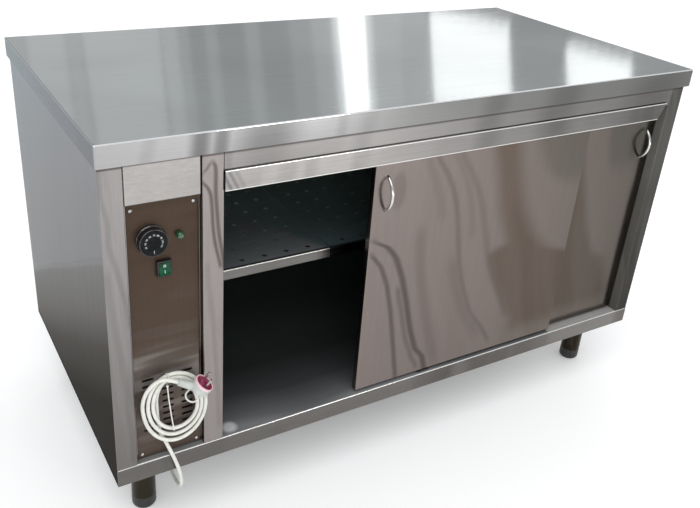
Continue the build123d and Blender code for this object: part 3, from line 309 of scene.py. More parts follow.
def wall_fall(at):
    """Painted reflection: the wall's tones from its dark foot to the light upper part; the right wall is
    plain.
    """
    tone = ramp(wall_rise(at), -0.05, 1.0, [
        (0.0, (0.034, 0.031, 0.027)), (0.17, (0.041, 0.037, 0.032)), (0.285, (0.097, 0.090, 0.083)),
        (0.365, (0.190, 0.184, 0.177)), (WALL_LINE[0], (0.250, 0.249, 0.243)),
        (WALL_LINE[1], (0.40, 0.40, 0.41)), (0.68, (0.46, 0.47, 0.49)), (0.97, (0.53, 0.60, 0.64))])
    tone = tint(at.x > 0.0, tone, RIGHT_TONE)
    # Painted shade: a dark line along the wall's bottom edge.
    low = spread(at.z, WALL_LOW + 0.005, WALL_LOW + 0.010, 0.95, 0.0)
    return wall_face(at), tint(low, tone, (0.003, 0.003, 0.003))


def wall_foot(at):
    """The wall below the line and the inner side of the right post, both with painted shade, are dull."""
    inner = (at.x > SIDE_RIGHT) * (at.x < SIDE_FACE) * (at.y > SIDE_FRONT)
    return inner | wall_face(at) * spread(wall_rise(at), *WALL_LINE, 0.95, 0.0)


def past(at, curve, sway):
    """How far to the right of a curve, given as heights and places, a point of the front lies."""
    left = min(x for z, x in curve)
    line = ramp(at.z, 0.10, 0.92, [(z, x - left) for z, x in curve], "B_SPLINE")
    return at.drift * sway + at.x - line - (left + sway / 2)


def streaks(lines, colour, sway=0.0, how="MIX"):
    """Painted reflection streaks in a sheet. A line is a curve of heights and places, its half width and
    strength.
    """
    def shade(at):
        mask = 0.0
        for curve, half, strength in lines:
            low, high = min(curve)[0], max(curve)[0]
            line = spread(abs(past(at, curve, sway)), 0.1 * half, half, 1.0, 0.0)
            span = (spread(at.z, low - half, low + half, 0.0, strength)
                    * spread(at.z, high - half, high + half, 1.0, 0.0))
            mask = line * span | mask
        return mask, colour, how
    return shade


# Painted reflections: dark wavering streaks down the left post.
LEFT_POST_STREAKS = (
    ([(0.82, -0.694), (0.76, -0.6935), (0.736, -0.689), (0.716, -0.683), (0.690, -0.683), (0.672, -0.6845),
      (0.652, -0.681), (0.630, -0.675), (0.600, -0.670), (0.560, -0.661), (0.50, -0.655)], 0.0085, 0.42),
    ([(0.62, -0.690), (0.52, -0.684), (0.42, -0.672), (0.32, -0.668), (0.20, -0.660)], 0.011, 0.30),
)


def post_fall(at):
    """Painted shade: the posts are a little darker towards the floor."""
    return 1.0, ramp(at.z, 0.15, 0.80, [(0.2, (0.63, 0.62, 0.61)), (0.75, 1.0)]), "MULTIPLY"


def right_post(at):
    """The right post stands in duller light than the left one, most of all its front."""
    return at.x > SIDE_RIGHT, tint(at.y > SIDE_FRONT, (0.385, 0.397, 0.38), (0.74, 0.76, 0.70)), "MULTIPLY"


def under_top(at):
    """A dark line of shade just under the worktop's fold."""
    return spread(at.z, 0.8005, 0.8035, 0.0, 0.75), (0.055, 0.050, 0.048)


dress("left_side_panel right_side_panel", sheet(
    "side_sheet", (0.305, 0.288, 0.284), (0.16, 0.148, 0.142), flow=(40, 5, 0.9), sway=0.10, sway_scale=4.0,
    lean=0.08, lines=0.5, wave=0.002, rough=0.21, edge=0.42, gloss=0.0, dull=wall_foot,
    shades=(streaks(LEFT_POST_STREAKS, (0.165, 0.165, 0.155)), post_fall, right_post, wall_fall, under_top)))


# Back, linings, insulation and partition
# A flat back sheet, thin dull liners over two slabs of mineral wool, and the wall that parts the heater
# column from the cupboard. The middle post is the folded front edge of that wall.
back_sheet = sheet(
    "back_sheet", (0.40, 0.395, 0.39), (0.34, 0.335, 0.33), flow=(3.0, 3.0, 0.8), lines=0.5, wave=0.0015,
    rough=0.24)
dress("back_panel", back_sheet)
liner = sheet(
    "liner_sheet", (0.30, 0.35, 0.35), (0.24, 0.28, 0.28), flow=(3, 3, 1.5), wave=0.003, rough=0.45,
    metal=0.45)
dress("partition_wall back_liner right_liner", liner)
# Painted reflections: dark wavering streaks down the middle post.
MID_POST_STREAKS = (
    ([(0.792, -0.5015), (0.782, -0.4955), (0.759, -0.4956), (0.730, -0.4962), (0.701, -0.4937),
      (0.672, -0.4917), (0.643, -0.4888), (0.610, -0.482), (0.58, -0.479)], 0.0066, 0.92),
    ([(0.772, -0.5196), (0.779, -0.5125), (0.788, -0.506), (0.794, -0.5015)], 0.0062, 0.62),
    ([(0.757, -0.521), (0.7454, -0.510), (0.730, -0.5042), (0.701, -0.5023), (0.672, -0.5014),
      (0.643, -0.4985), (0.615, -0.493), (0.585, -0.485)], 0.0060, 0.90),
    ([(0.60, -0.512), (0.52, -0.506), (0.44, -0.498), (0.34, -0.494), (0.22, -0.486)], 0.009, 0.22),
)


def post_side(at):
    """The post's side towards the control panel lies in the shade."""
    return at.y > SIDE_FRONT, (0.115, 0.095, 0.080)


dress("mid_post", sheet(
    "post_sheet", (0.290, 0.262, 0.254), (0.135, 0.119, 0.110), flow=(38, 38, 0.9), sway=0.14, sway_scale=4.5,
    lean=0.10, bands=2.2, wave=0.002, rough=0.20, lines=0.12,
    shades=(streaks(MID_POST_STREAKS, (0.115, 0.100, 0.092)), under_top, post_side)))


def fibrous(name, rough, run, pale, deep, strength, depth):
    """Pressed fibre or chips: two tones along the grain, with a rough skin."""
    material, tree, to, here = blank(name, Roughness=rough)
    fibre = put(tree, "Group", {"node_tree": grain_tree}, Vector=here, Run=run)("Grain")
    feed(to["Base Color"], tint(fibre, pale, deep))
    feed(to["Normal"], put(tree, "Bump", Strength=strength, Distance=depth, Height=fibre)())
    return material


dress("wall_insulation", fibrous(
    "mineral_wool", 0.95, (90, 500, 260), (0.52, 0.46, 0.28), (0.30, 0.26, 0.15), 0.9, 0.002))


# Heater column
# Behind the control panel: a fan motor on a zinc plate with an aluminium impeller, a tubular element in
# two brackets, darkened by heat, and a glazed terminal block.
dress("fan_plate fan_motor heater_brackets", zinc)
aluminium = sheet(
    "mill_aluminium", (0.62, 0.63, 0.64), (0.50, 0.51, 0.52), run=ALONG_X, flow=(8, 8, 8), wave=0.0006,
    rough=0.32)
dress("fan_impeller", aluminium)
dress("heating_element", sheet(
    "heated_tube", (0.055, 0.048, 0.045), (0.10, 0.075, 0.06), run=(40, 40, 40), flow=(14, 14, 14),
    wave=0.0003, rough=0.48))
dress("terminal_block", moulded(
    "glazed_ceramic", (0.72, 0.68, 0.58), (0.66, 0.61, 0.50), 0.14, pits=300.0, depth=0.00003))


# Shelf
# Perforated stainless shelf in lift-out panels, each with a folded lip along the front, on two rails.
# In the shade of the cupboard the top is nearly black; the lip mirrors the light from the front.
SHELF_LIP, SHELF_FACE, SHELF_PANELS, SHELF_GAP = -0.2415, 0.5151, 4, 0.002
shelf_low, shelf_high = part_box("shelf_panels")
SHELF_JOINT = shelf_low[0] + (shelf_high[0] - shelf_low[0] + SHELF_GAP) / SHELF_PANELS - SHELF_GAP / 2


def shelf_top(at):
    return at.y > SHELF_LIP


def shelf_shade(at):
    """The left front corner takes the light; the rest lies in the shade of the door."""
    lit = spread(at.y * 0.445 + at.x, -0.330, -0.295, 1.0, 0.0) * spread(at.y, -0.24, 0.25, 1.0, 0.25)
    deep = ramp(at.y, -0.26, 0.30, [(-0.24, (0.085, 0.122, 0.127)), (0.02, (0.185, 0.265, 0.275))])
    return shelf_top(at), tint(lit, deep, (0.190, 0.207, 0.220))


def lip_shade(at):
    """The first panel's lip is painted lit with a highlight on its top edge; the next one lies in painted
    shade.
    """
    lit = ramp(at.x, -0.48, 0.0, [
        (-0.47, 1.0), (SHELF_JOINT - 0.0005, 1.0), (SHELF_JOINT + 0.0005, 0.22), (SHELF_JOINT + 0.045, 0.0)])
    top = spread(at.z, SHELF_FACE - 0.0022, SHELF_FACE - 0.0008)
    painted_highlight = tint(top, (0.70, 0.69, 0.68), (2.6, 2.6, 2.55))
    return at.y < SHELF_LIP, tint(lit, (0.07, 0.09, 0.09), painted_highlight), "MULTIPLY"


def lip_line(at):
    """Painted reflection: a dark line along the bend behind the lip."""
    return shelf_top(at) * spread(at.y, -0.2395, -0.2335, 0.9, 0.0), (0.012, 0.014, 0.014)


def hole_walls(at):
    """Painted shade: the punched holes' walls are made blue-black."""
    return shelf_top(at) * (at.z < SHELF_FACE), (0.006, 0.008, 0.008)


dress("shelf_panels", sheet(
    "shelf_sheet", (0.25, 0.243, 0.236), (0.18, 0.173, 0.167), run=ALONG_X, flow=(9, 9, 2), wave=0.001,
    rough=0.24, gloss=0.08, shades=(shelf_shade, lip_line, lip_shade, hole_walls), dull=shelf_top))
dress("shelf_rails", back_sheet)


# Upper rail, cover strip and door track
# A folded rail under the worktop carries an extruded aluminium double track; a bright cover strip hides it
# and ends in a slant at the right. The strip's folded edges carry painted highlights.
STRIP_LOW, STRIP_HIGH = (corner[2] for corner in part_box("track_fascia"))
STRIP_FACE, FOLD = -0.3430, 0.0022


def upright(*bands):
    """Curves for upright painted reflection bands in the front, each from its place, lean, half width and
    strength.
    """
    return [([(0.60, x - lean), (0.91, x + lean)], half, strength) for x, lean, half, strength in bands]


FRONT_BANDS = upright((-0.205, 0.02, 0.030, 0.20), (0.095, 0.02, 0.055, 0.40), (0.285, 0.03, 0.085, 0.50),
                      (0.585, 0.03, 0.150, 0.55))
RAIL_BANDS = upright((-0.405, 0.02, 0.075, 0.32), (-0.475, 0.01, 0.012, 0.30))
BAND_TONE, BAND_SWAY = (0.45, 0.45, 0.45), 0.02


# Painted highlights along the strip's folded edges.
def strip_edges(at):
    edges = (at.z > STRIP_HIGH - FOLD) | (at.z < STRIP_LOW + FOLD)
    return edges * (at.y < STRIP_FACE), (0.78, 0.76, 0.74)


dress("upper_rail", sheet(
    "rail_sheet", (0.281, 0.270, 0.263), (0.217, 0.205, 0.196), run=ALONG_X, flow=(9, 9, 1.5), bands=2.0,
    lines=0.3, wave=0.0015, rough=0.20, shades=(
        right_fall((-0.65, 0.96), (-0.40, 0.95), (-0.24, 1.04), (-0.08, 1.0), (0.1, 0.82), (0.6, 0.63)),
        streaks(FRONT_BANDS + RAIL_BANDS, BAND_TONE, BAND_SWAY, "MULTIPLY"), under_top)))


def strip_dents(at):
    """Painted shade of slanting dents at the strip's left end."""
    dents = ramp(at.band * 0.006 + (at.z * 0.55 + at.x), -0.09, 0.0, [
        (-0.076, 0.0), (-0.068, 0.05), (-0.060, 0.75), (-0.054, 0.05), (-0.047, 0.65), (-0.041, 0.10),
        (-0.034, 0.35), (-0.026, 0.0), (-0.005, 0.0)])
    return dents, (0.11, 0.10, 0.10)


dress("track_fascia", sheet(
    "cover_strip", (0.365, 0.350, 0.340), (0.255, 0.242, 0.230), run=ALONG_X, flow=(11, 11, 1.5), bands=2.2,
    lines=0.5, wave=0.0015, rough=0.18, shades=(
        right_fall((-0.65, 0.95), (-0.28, 0.98), (-0.1, 0.80), (0.1, 0.67), (0.62, 0.43)),
        streaks(FRONT_BANDS, BAND_TONE, BAND_SWAY, "MULTIPLY"), strip_dents, strip_edges)))
dress("door_track", aluminium)


# Sliding doors
# Two hollow doors: a thin bright skin folded round its edges over a lining, hung on grooved nylon rollers and
# steered by black guides in the floor. The skins are warm grey; long leaning streaks of painted reflection
# run down the thin sheet, with a painted brown patch and greyer corners, and the doors darken to the right.
# Painted reflections: the leaning dark streaks down the doors.
DOOR_LINES = (
    ([(0.19, -0.056), (0.237, -0.066), (0.303, -0.078), (0.387, -0.095), (0.453, -0.112), (0.503, -0.133),
      (0.535, -0.165)], 0.011, 0.72),
    ([(0.19, 0.028), (0.237, 0.013), (0.262, -0.012), (0.320, -0.033), (0.395, -0.053), (0.462, -0.074),
      (0.512, -0.095), (0.545, -0.120), (0.565, -0.165)], 0.014, 0.82),
    ([(0.205, 0.004), (0.24, -0.018), (0.30, -0.045), (0.38, -0.066), (0.44, -0.084)], 0.012, 0.45),
    ([(0.21, 0.052), (0.27, 0.030), (0.337, 0.010), (0.420, -0.014), (0.495, -0.034), (0.57, -0.040)],
     0.024, 0.26),
    ([(0.22, 0.222), (0.278, 0.172), (0.32, 0.138), (0.387, 0.105), (0.462, 0.080), (0.528, 0.067),
      (0.603, 0.051), (0.678, 0.022), (0.74, -0.030)], 0.013, 0.36),
    ([(0.25, 0.176), (0.32, 0.122), (0.40, 0.082), (0.48, 0.060)], 0.030, 0.24),
    ([(0.278, 0.263), (0.353, 0.213), (0.42, 0.180), (0.478, 0.159), (0.545, 0.138), (0.612, 0.117),
      (0.678, 0.080), (0.74, 0.030)], 0.017, 0.26),
    ([(0.52, 0.112), (0.62, 0.086), (0.70, 0.050), (0.75, 0.010)], 0.016, 0.18),
    ([(0.58, 0.016), (0.66, -0.006), (0.74, -0.050)], 0.020, 0.18),
)
# Edges of the painted brown and grey reflections on the doors.
BROWN_TOP = [(0.74, 0.124), (0.662, 0.155), (0.587, 0.172), (0.52, 0.197), (0.45, 0.226), (0.36, 0.27)]
BROWN_LEFT = [(0.52, 0.150), (0.466, 0.163), (0.403, 0.188), (0.345, 0.222), (0.278, 0.263), (0.237, 0.297),
              (0.19, 0.330)]
BROWN_RIGHT = [(0.74, 0.196), (0.662, 0.218), (0.595, 0.238), (0.545, 0.263), (0.495, 0.297), (0.453, 0.338),
               (0.428, 0.400), (0.405, 0.500), (0.36, 0.575), (0.19, 0.660)]
BROWN_REAR = [(0.70, 0.414), (0.645, 0.430), (0.587, 0.447), (0.52, 0.472), (0.462, 0.490), (0.403, 0.522),
              (0.353, 0.555), (0.303, 0.590), (0.25, 0.622), (0.19, 0.66)]
GREY_FRONT = [(0.74, 0.250), (0.70, 0.268), (0.65, 0.297), (0.61, 0.350), (0.58, 0.420)]
GREY_REAR = [(0.74, 0.492), (0.66, 0.505), (0.60, 0.530), (0.56, 0.590)]
HANDLE_SHADES, SHADE_STRETCH = ((-0.104, 0.668), (0.598, 0.668)), (1 / 0.021, 1 / 0.046, 0)
BROWN_STEP, STEP_RISE, STEP_SOFT, DOOR_SWAY, REAR_DOOR = (0.163, 0.466), 0.42, 0.018, 0.03, -0.326


def right_of(at, curve, soft):
    """A mask for the right side of a curve, with a soft edge."""
    return spread(past(at, curve, DOOR_SWAY), -soft, soft)


def left_of(at, curve, soft):
    return spread(past(at, curve, DOOR_SWAY), -soft, soft, 1.0, 0.0)


def door_brown(at):
    """Painted reflection: a broad brown patch, narrow atop the front door, wide midway and on the rear door.
    """
    start = BROWN_STEP[1] - STEP_RISE * BROWN_STEP[0]
    below = spread(at.x * -STEP_RISE + at.z, start - STEP_SOFT, start + STEP_SOFT, 1.0, 0.0)
    left = right_of(at, BROWN_TOP, 0.026) | right_of(at, BROWN_LEFT, 0.022) * below
    front = left * left_of(at, BROWN_RIGHT, 0.036) * spread(at.z, 0.205, 0.262, 0.2, 1.0)
    rear = (left_of(at, BROWN_REAR, 0.018) * (at.y > REAR_DOOR)
            * spread(at.x * 0.25 + at.z, 0.375, 0.415, 0.25, 1.0))
    return (front | rear) * spread(at.band, 0.0, 1.0, 0.82, 1.0), (0.64, 0.585, 0.52), "MULTIPLY"


def door_grey(at):
    """Painted reflection: greyer zones towards the right top corner of each door."""
    front = right_of(at, GREY_FRONT, 0.030) * (at.y < REAR_DOOR)
    rear = right_of(at, GREY_REAR, 0.016) * (at.y > REAR_DOOR)
    return (front | rear) * spread(at.z, 0.575, 0.650), (0.76, 0.80, 0.78), "MULTIPLY"


def handle_shades(at):
    """The dark mirror image of each bow handle beside it."""
    face = put(at.x.tree, "CombineXYZ", X=at.x, Y=at.z)()
    shade = 0.0
    for x, z in HANDLE_SHADES:
        away = face.vector("SUBTRACT", (x, z, 0)).vector("MULTIPLY", SHADE_STRETCH)
        shade = spread(away.vector("LENGTH", out="Value"), 0.65, 1.1, 0.42, 0.0) | shade
    return shade, (0.60, 0.58, 0.56), "MULTIPLY"


def door_fall(at):
    """Painted shade: the doors grow darker towards the right."""
    tone = ramp(at.x, -0.17, 0.66, [
        (-0.15, 1.0), (0.12, (0.90, 0.89, 0.88)), (0.38, (0.72, 0.71, 0.68)), (0.62, (0.505, 0.515, 0.485))])
    return 1.0, tone, "MULTIPLY"


dress("front_door_skin rear_door_skin", sheet(
    "door_sheet", (0.220, 0.187, 0.174), (0.140, 0.119, 0.107), flow=(11, 3, 0.5), sway=0.22, sway_scale=2.2,
    lean=0.42, bands=2.0, lines=0.14, wave=0.003, rough=0.19, fleck=0.05, shades=(
        streaks(DOOR_LINES, (0.088, 0.072, 0.063), DOOR_SWAY), door_brown, door_grey, handle_shades,
        door_fall)))
dress("front_door_lining rear_door_lining", liner)
dress("front_door_hangers rear_door_hangers", zinc)
dress("front_door_roller_left front_door_roller_right rear_door_roller_left rear_door_roller_right", moulded(
    "natural_nylon", (0.72, 0.70, 0.62), (0.66, 0.63, 0.54), 0.36))
dress("door_guides", foot_black)
dress("front_door_handle rear_door_handle", sheet(
    "bright_rod", (0.66, 0.65, 0.63), (0.56, 0.55, 0.53), run=(40, 40, 40), flow=(20, 20, 20), wave=0.0001,
    rough=0.09, scratch=0.00001))


# Column plate and control panel
# A small bare plate above a tall removable panel, both stainless sheet; the panel has warm brown tones and
# three columns of punched slots near its foot, where a painted band of light makes the sheet greyer; each
# slot is ringed by painted shade.
PLATE_MID = sum(corner[0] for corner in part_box("column_plate")) / 2
PLATE_HALF, PLATE_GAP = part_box("column_plate")[1][0] - PLATE_MID, 0.0016


def plate_gaps(at):
    """The shaded gaps beside the plate."""
    return abs(at.x - PLATE_MID) > PLATE_HALF - PLATE_GAP, (0.05, 0.045, 0.042)


dress("column_plate", sheet(
    "plate_sheet", (0.388, 0.368, 0.356), (0.322, 0.305, 0.294), run=(60, 400, 300), flow=(9, 9, 9),
    bands=2.2, lines=0.25, wave=0.0008, rough=0.24, fleck=0.05,
    shades=(right_fall((-0.655, 1.01), (-0.52, 0.88)), plate_gaps, under_top)))


def panel_foot(at):
    """A painted band of light where the slots begin, and greyer streaks of painted light below it."""
    share = ramp(at.z, 0.19, 0.72, [
        (0.20, 0.30), (0.30, 0.40), (0.372, 0.66), (0.400, 0.80), (0.428, 0.40), (0.465, 0.10), (0.62, 0.0)])
    return share * spread(at.band, 0.0, 1.0, 0.35, 1.1), (0.25, 0.232, 0.217)


SLOT_X, SLOT_Z, SLOT_STEP_X, SLOT_STEP_Z, SLOT_ROWS = -0.5875, 0.314, 0.0377, 0.0145, 9
SLOT_LONG, SLOT_TALL, SLOT_CLEAR, SLOT_EDGE = 0.0205, 0.003, 0.0004, 0.0016


def slot_edges(at):
    """Painted shade: each punched slot is ringed by a dark line."""
    along = (at.x - SLOT_X).reckon("PINGPONG", SLOT_STEP_X / 2)
    rise = (at.z - SLOT_Z).reckon("PINGPONG", SLOT_STEP_Z / 2)
    ring = (spread(along, SLOT_LONG / 2, SLOT_LONG / 2 + SLOT_EDGE, 1.0, 0.0)
            * spread(rise, SLOT_TALL / 2 + SLOT_CLEAR, SLOT_TALL / 2 + SLOT_EDGE, 1.0, 0.0))
    return ring * (abs(at.z - SLOT_Z) < SLOT_STEP_Z * SLOT_ROWS / 2), (0.012, 0.010, 0.009)


dress("control_panel", sheet(
    "panel_sheet", (0.066, 0.043, 0.030), (0.052, 0.034, 0.024), flow=(5, 5, 46), sway=0.05, bands=1.8,
    lean=0.35, wave=0.0005, rough=0.38, metal=0.45, gloss=0.15, lines=0.5, shades=(panel_foot, slot_edges)))

# The panel is held by four domed steel screws with a cross recess, one near each corner.
SCREW_RADIUS, SCREW_RISE, RECESS_ARM, RECESS_WIDTH, RECESS_DEPTH = 0.00375, 0.0020, 0.0021, 0.00055, 0.0011
HEAD_GRID, HEAD_ROUND, RECESS_SLOPE = 24, 0.82, 0.6


def show(made):
    """Put an object into the scene."""
    bpy.context.scene.collection.objects.link(made)
    return made


def piece(name, shape, material, smooth=False):
    """Turn a bmesh into an object of the scene."""
    mesh = bpy.data.meshes.new(name)
    shape.to_mesh(mesh)
    shape.free()
    mesh.materials.append(material)
    for face in mesh.polygons:
        face.use_smooth = smooth
    return show(bpy.data.objects.new(name, mesh))


def domed_heads(name, centres, radius, rise, recess, material):
    """Round heads on an upright sheet: square grids pushed round, domed and, for screws, cut with a cross."""
    shape = bmesh.new()
    steps = [2 * k / HEAD_GRID - 1 for k in range(HEAD_GRID + 1)]
    for cx, base, cz in centres:
        rows = []
        for u in steps:
            rows.append([])
            for v in steps:
                x, z = u * math.sqrt(1 - v * v / 2) * radius, v * math.sqrt(1 - u * u / 2) * radius
                out = rise * math.sqrt(max(0.0, 1.0 - HEAD_ROUND * (x * x + z * z) / radius ** 2))
                narrow, long = sorted((abs(x), abs(z)))
                if recess and narrow < RECESS_WIDTH and long < RECESS_ARM:
                    out -= RECESS_DEPTH * (1 - RECESS_SLOPE * long / RECESS_ARM)
                if max(abs(u), abs(v)) == 1:
                    out = 0.0
                rows[-1].append(shape.verts.new((cx + x, base - out, cz + z)))
        for first, second in zip(rows, rows[1:]):
            for j in range(HEAD_GRID):
                shape.faces.new((first[j], second[j], second[j + 1], first[j + 1]))
    bmesh.ops.recalc_face_normals(shape, faces=shape.faces)
    return piece(name, shape, material, smooth=True)


screw_steel = sheet(
    "screw_steel", (0.46, 0.45, 0.44), (0.38, 0.37, 0.36), run=(300, 300, 300), flow=(90, 90, 90),
    wave=0.0001, rough=0.20)
screw_low, screw_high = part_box("panel_screws")
screw_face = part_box("control_panel")[0][1]
screw_spots = [(x, screw_face, z) for x in (screw_low[0] + SCREW_RADIUS, screw_high[0] - SCREW_RADIUS)
               for z in (screw_low[2] + SCREW_RADIUS, screw_high[2] - SCREW_RADIUS)]
screw_heads = domed_heads("panel_screw_heads", screw_spots, SCREW_RADIUS, SCREW_RISE, True, screw_steel)
dress("panel_screws", screw_steel)
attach(screw_heads, "cabinet")

# The back sheet is held by a row of small domed rivets along each edge.
RIVET_RADIUS, RIVET_RISE, RIVET_INSET, RIVETS_ACROSS, RIVETS_UP = 0.0040, 0.0016, 0.014, 9, 5
back_low, back_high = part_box("back_panel")
rivet_x, rivet_z = [
    [back_low[axis] + RIVET_INSET + (back_high[axis] - back_low[axis] - 2 * RIVET_INSET) * k / (count - 1)
     for k in range(count)] for axis, count in ((0, RIVETS_ACROSS), (2, RIVETS_UP))]
rivet_spots = [(x, back_high[1], z) for x in rivet_x for z in rivet_z
               if x in (rivet_x[0], rivet_x[-1]) or z in (rivet_z[0], rivet_z[-1])]
rivets = domed_heads("back_rivets", rivet_spots, RIVET_RADIUS, -RIVET_RISE, False, screw_steel)
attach(rivets, "cabinet")


# Thermostat and knob
# A capillary thermostat behind the panel turns with a black moulded knob; the knob's polished rim shines,
# its flat face carries printed pale numbers over the upper half and a tick at the foot.
dress("thermostat", zinc)
dress("thermostat_shaft", screw_steel)
knob_low, knob_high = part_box("thermostat_knob")
KNOB_X, KNOB_Z = (knob_low[0] + knob_high[0]) / 2, (knob_low[2] + knob_high[2]) / 2
KNOB_RIM, RIM_SOFT, RIM_SHINE = 0.0236, 0.001, 0.5
knob_black = moulded("knob_black", (0.007, 0.008, 0.009), (0.012, 0.013, 0.014), 0.26, pits=900.0,
                     depth=0.00002, Specular_IOR_Level=0.07, Coat_IOR=2.2, Coat_Roughness=0.10)
knob_flat = put(knob_black.node_tree, "TexCoord")("Object").vector("MULTIPLY", (1, 0, 1))
knob_far = knob_flat.vector("DISTANCE", (KNOB_X, 0, KNOB_Z), out="Value")
feed(knob_black.node_tree.nodes["Principled BSDF"].inputs["Coat Weight"],
     spread(knob_far, KNOB_RIM, KNOB_RIM + RIM_SOFT, 0.0, RIM_SHINE))
dress("thermostat_knob", knob_black)

print_white = moulded("print_white", (0.62, 0.66, 0.67), (0.52, 0.56, 0.57), 0.50)
KNOB_FACE, PRINT_RISE, NUMBER_RING, NUMBER_SIZE = knob_low[1], 0.00012, 0.0148, 0.0046
NUMBERS, NUMBER_FIRST, NUMBER_STEP = range(30, 120, 10), 203, 28.5
dial = bmesh.new()
for place, number in enumerate(NUMBERS):
    turn = math.radians(NUMBER_FIRST - NUMBER_STEP * place)
    text = bpy.data.curves.new("number", "FONT")
    text.body, text.size, text.align_x, text.align_y = str(number), NUMBER_SIZE, "CENTER", "CENTER"
    text.extrude = PRINT_RISE
    stroke = bpy.data.objects.new("number", text)
    flat = bpy.data.meshes.new_from_object(stroke)
    stand = Matrix.Translation((KNOB_X, KNOB_FACE, KNOB_Z)) @ Matrix.Rotation(math.radians(90), 4, "X")
    round_dial = Matrix.Rotation(turn - math.pi / 2, 4, "Z")
    flat.transform(stand @ round_dial @ Matrix.Translation((0, NUMBER_RING, 0)))
    dial.from_mesh(flat)
    bpy.data.objects.remove(stroke)
    bpy.data.meshes.remove(flat)
    bpy.data.curves.remove(text)
TICK_HALF, TICK_TOP, TICK_FOOT = 0.0004, 0.0140, 0.0200
for vertex in bmesh.ops.create_cube(dial, size=1.0)["verts"]:
    vertex.co = (KNOB_X + 2 * TICK_HALF * vertex.co.x, KNOB_FACE + 2 * PRINT_RISE * vertex.co.y,
                 KNOB_Z - (TICK_TOP + TICK_FOOT) / 2 + (TICK_FOOT - TICK_TOP) * vertex.co.z)
dial_print = piece("dial_numbers", dial, print_white)
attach(dial_print, "knob")


# Pilot lamp
# A black body pushed through the panel, with a clear green lens moulded as a low dome.
# The lens is smooth and shiny, and dark while the lamp is off.
dress("pilot_lamp_body", foot_black)
dress("pilot_lamp_lens", moulded(
    "lens_green", (0.008, 0.095, 0.032), (0.005, 0.055, 0.019), 0.10, pits=200.0, depth=0.00002,
    Coat_Weight=1.0, Coat_Roughness=0.03))


# Rocker switch
# A snap-in switch: black frame and a green see-through rocker, dished along its length, printed with a
# white ring above a white bar.
dress("switch_housing", moulded("switch_black", (0.008, 0.009, 0.010), (0.014, 0.015, 0.015), 0.28))
dress("switch_rocker", moulded(
    "rocker_green", (0.003, 0.074, 0.031), (0.002, 0.034, 0.015), 0.16, pits=200.0, depth=0.00002,
    Specular_IOR_Level=0.22))

ROCKER_PIVOT, ROCKER_TIP = Vector((-0.5887, -0.3315, 0.603)), math.radians(7)
ROCKER_REACH, ROCKER_HALF, ROCKER_DISH, MARK_RISE = 0.0065, 0.0119, 0.0016, 0.00008
DISH_RADIUS = (ROCKER_HALF ** 2 + ROCKER_DISH ** 2) / (2 * ROCKER_DISH)
marks = bmesh.new()


def on_rocker(across, up, rise):
    """A point on the dished face: across to the right, up along the rocker, rise out of the face."""
    out = ROCKER_REACH - ROCKER_DISH + DISH_RADIUS - math.sqrt(DISH_RADIUS ** 2 - up * up) + rise
    return ROCKER_PIVOT + Vector((across, up * math.sin(ROCKER_TIP) - out * math.cos(ROCKER_TIP),
                                  up * math.cos(ROCKER_TIP) + out * math.sin(ROCKER_TIP)))


def mark_loop(inner, outer):
    """A printed mark from pairs of inner and outer points, standing a hair off the rocker."""
    near, far = [[marks.verts.new(on_rocker(a, b, rise)) for a, b in line for rise in (-MARK_RISE, MARK_RISE)]
                 for line in (inner, outer)]
    for i in range(len(inner)):
        j = (i + 1) % len(inner)
        marks.faces.new((near[2 * i + 1], near[2 * j + 1], far[2 * j + 1], far[2 * i + 1]))
        marks.faces.new((far[2 * i], far[2 * i + 1], far[2 * j + 1], far[2 * j]))
        marks.faces.new((near[2 * i], near[2 * j], near[2 * j + 1], near[2 * i + 1]))


RING_UP, RING_IN, RING_OUT, BAR_UP, BAR_HALF, BAR_TALL = 0.0052, 0.0014, 0.0026, -0.0055, 0.0006, 0.0026
MARK_STEPS, BAR_CORE, BAR_SQUARE = 32, 0.4, 1.6
turns = [2 * math.pi * k / MARK_STEPS for k in range(MARK_STEPS)]
mark_loop(*[[(reach * math.cos(t), RING_UP + reach * math.sin(t)) for t in turns]
            for reach in (RING_IN, RING_OUT)])
mark_loop([(BAR_CORE * BAR_HALF * math.cos(t), BAR_UP + BAR_CORE * BAR_TALL * math.sin(t)) for t in turns],
          [(BAR_HALF * max(-1, min(1, BAR_SQUARE * math.cos(t))),
            BAR_UP + BAR_TALL * max(-1, min(1, BAR_SQUARE * math.sin(t)))) for t in turns])
bmesh.ops.recalc_face_normals(marks, faces=marks.faces)
rocker_marks = piece("rocker_marks", marks, print_white)
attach(rocker_marks, "rocker")


# Worktop
# A heavy polished sheet folded down all round over a board core with steel ribs below. It is brushed along
# its length and wiped in long strokes; its folded edge carries a painted highlight, and its folds show
# painted reflections.
TOP_FOLD, TOP_FRONT, TOP_HIGHLIGHT_FOLD, TOP_HIGHLIGHT_FRONT = 0.8478, -0.3478, 0.8481, -0.3481
SKIRT_BANDS = upright((-0.533, 0.02, 0.028, 1.0), (-0.497, 0.02, 0.024, 0.90), (-0.415, 0.03, 0.095, 0.86),
                      (-0.262, 0.02, 0.018, 0.26), (-0.635, 0.06, 0.020, 0.22))


def wipe_marks(at):
    """Cloudy cleaning marks, slightly darker than the sheet."""
    return spread(at.drift, 0.42, 0.62, 0.0, 0.35), (0.31, 0.32, 0.32)


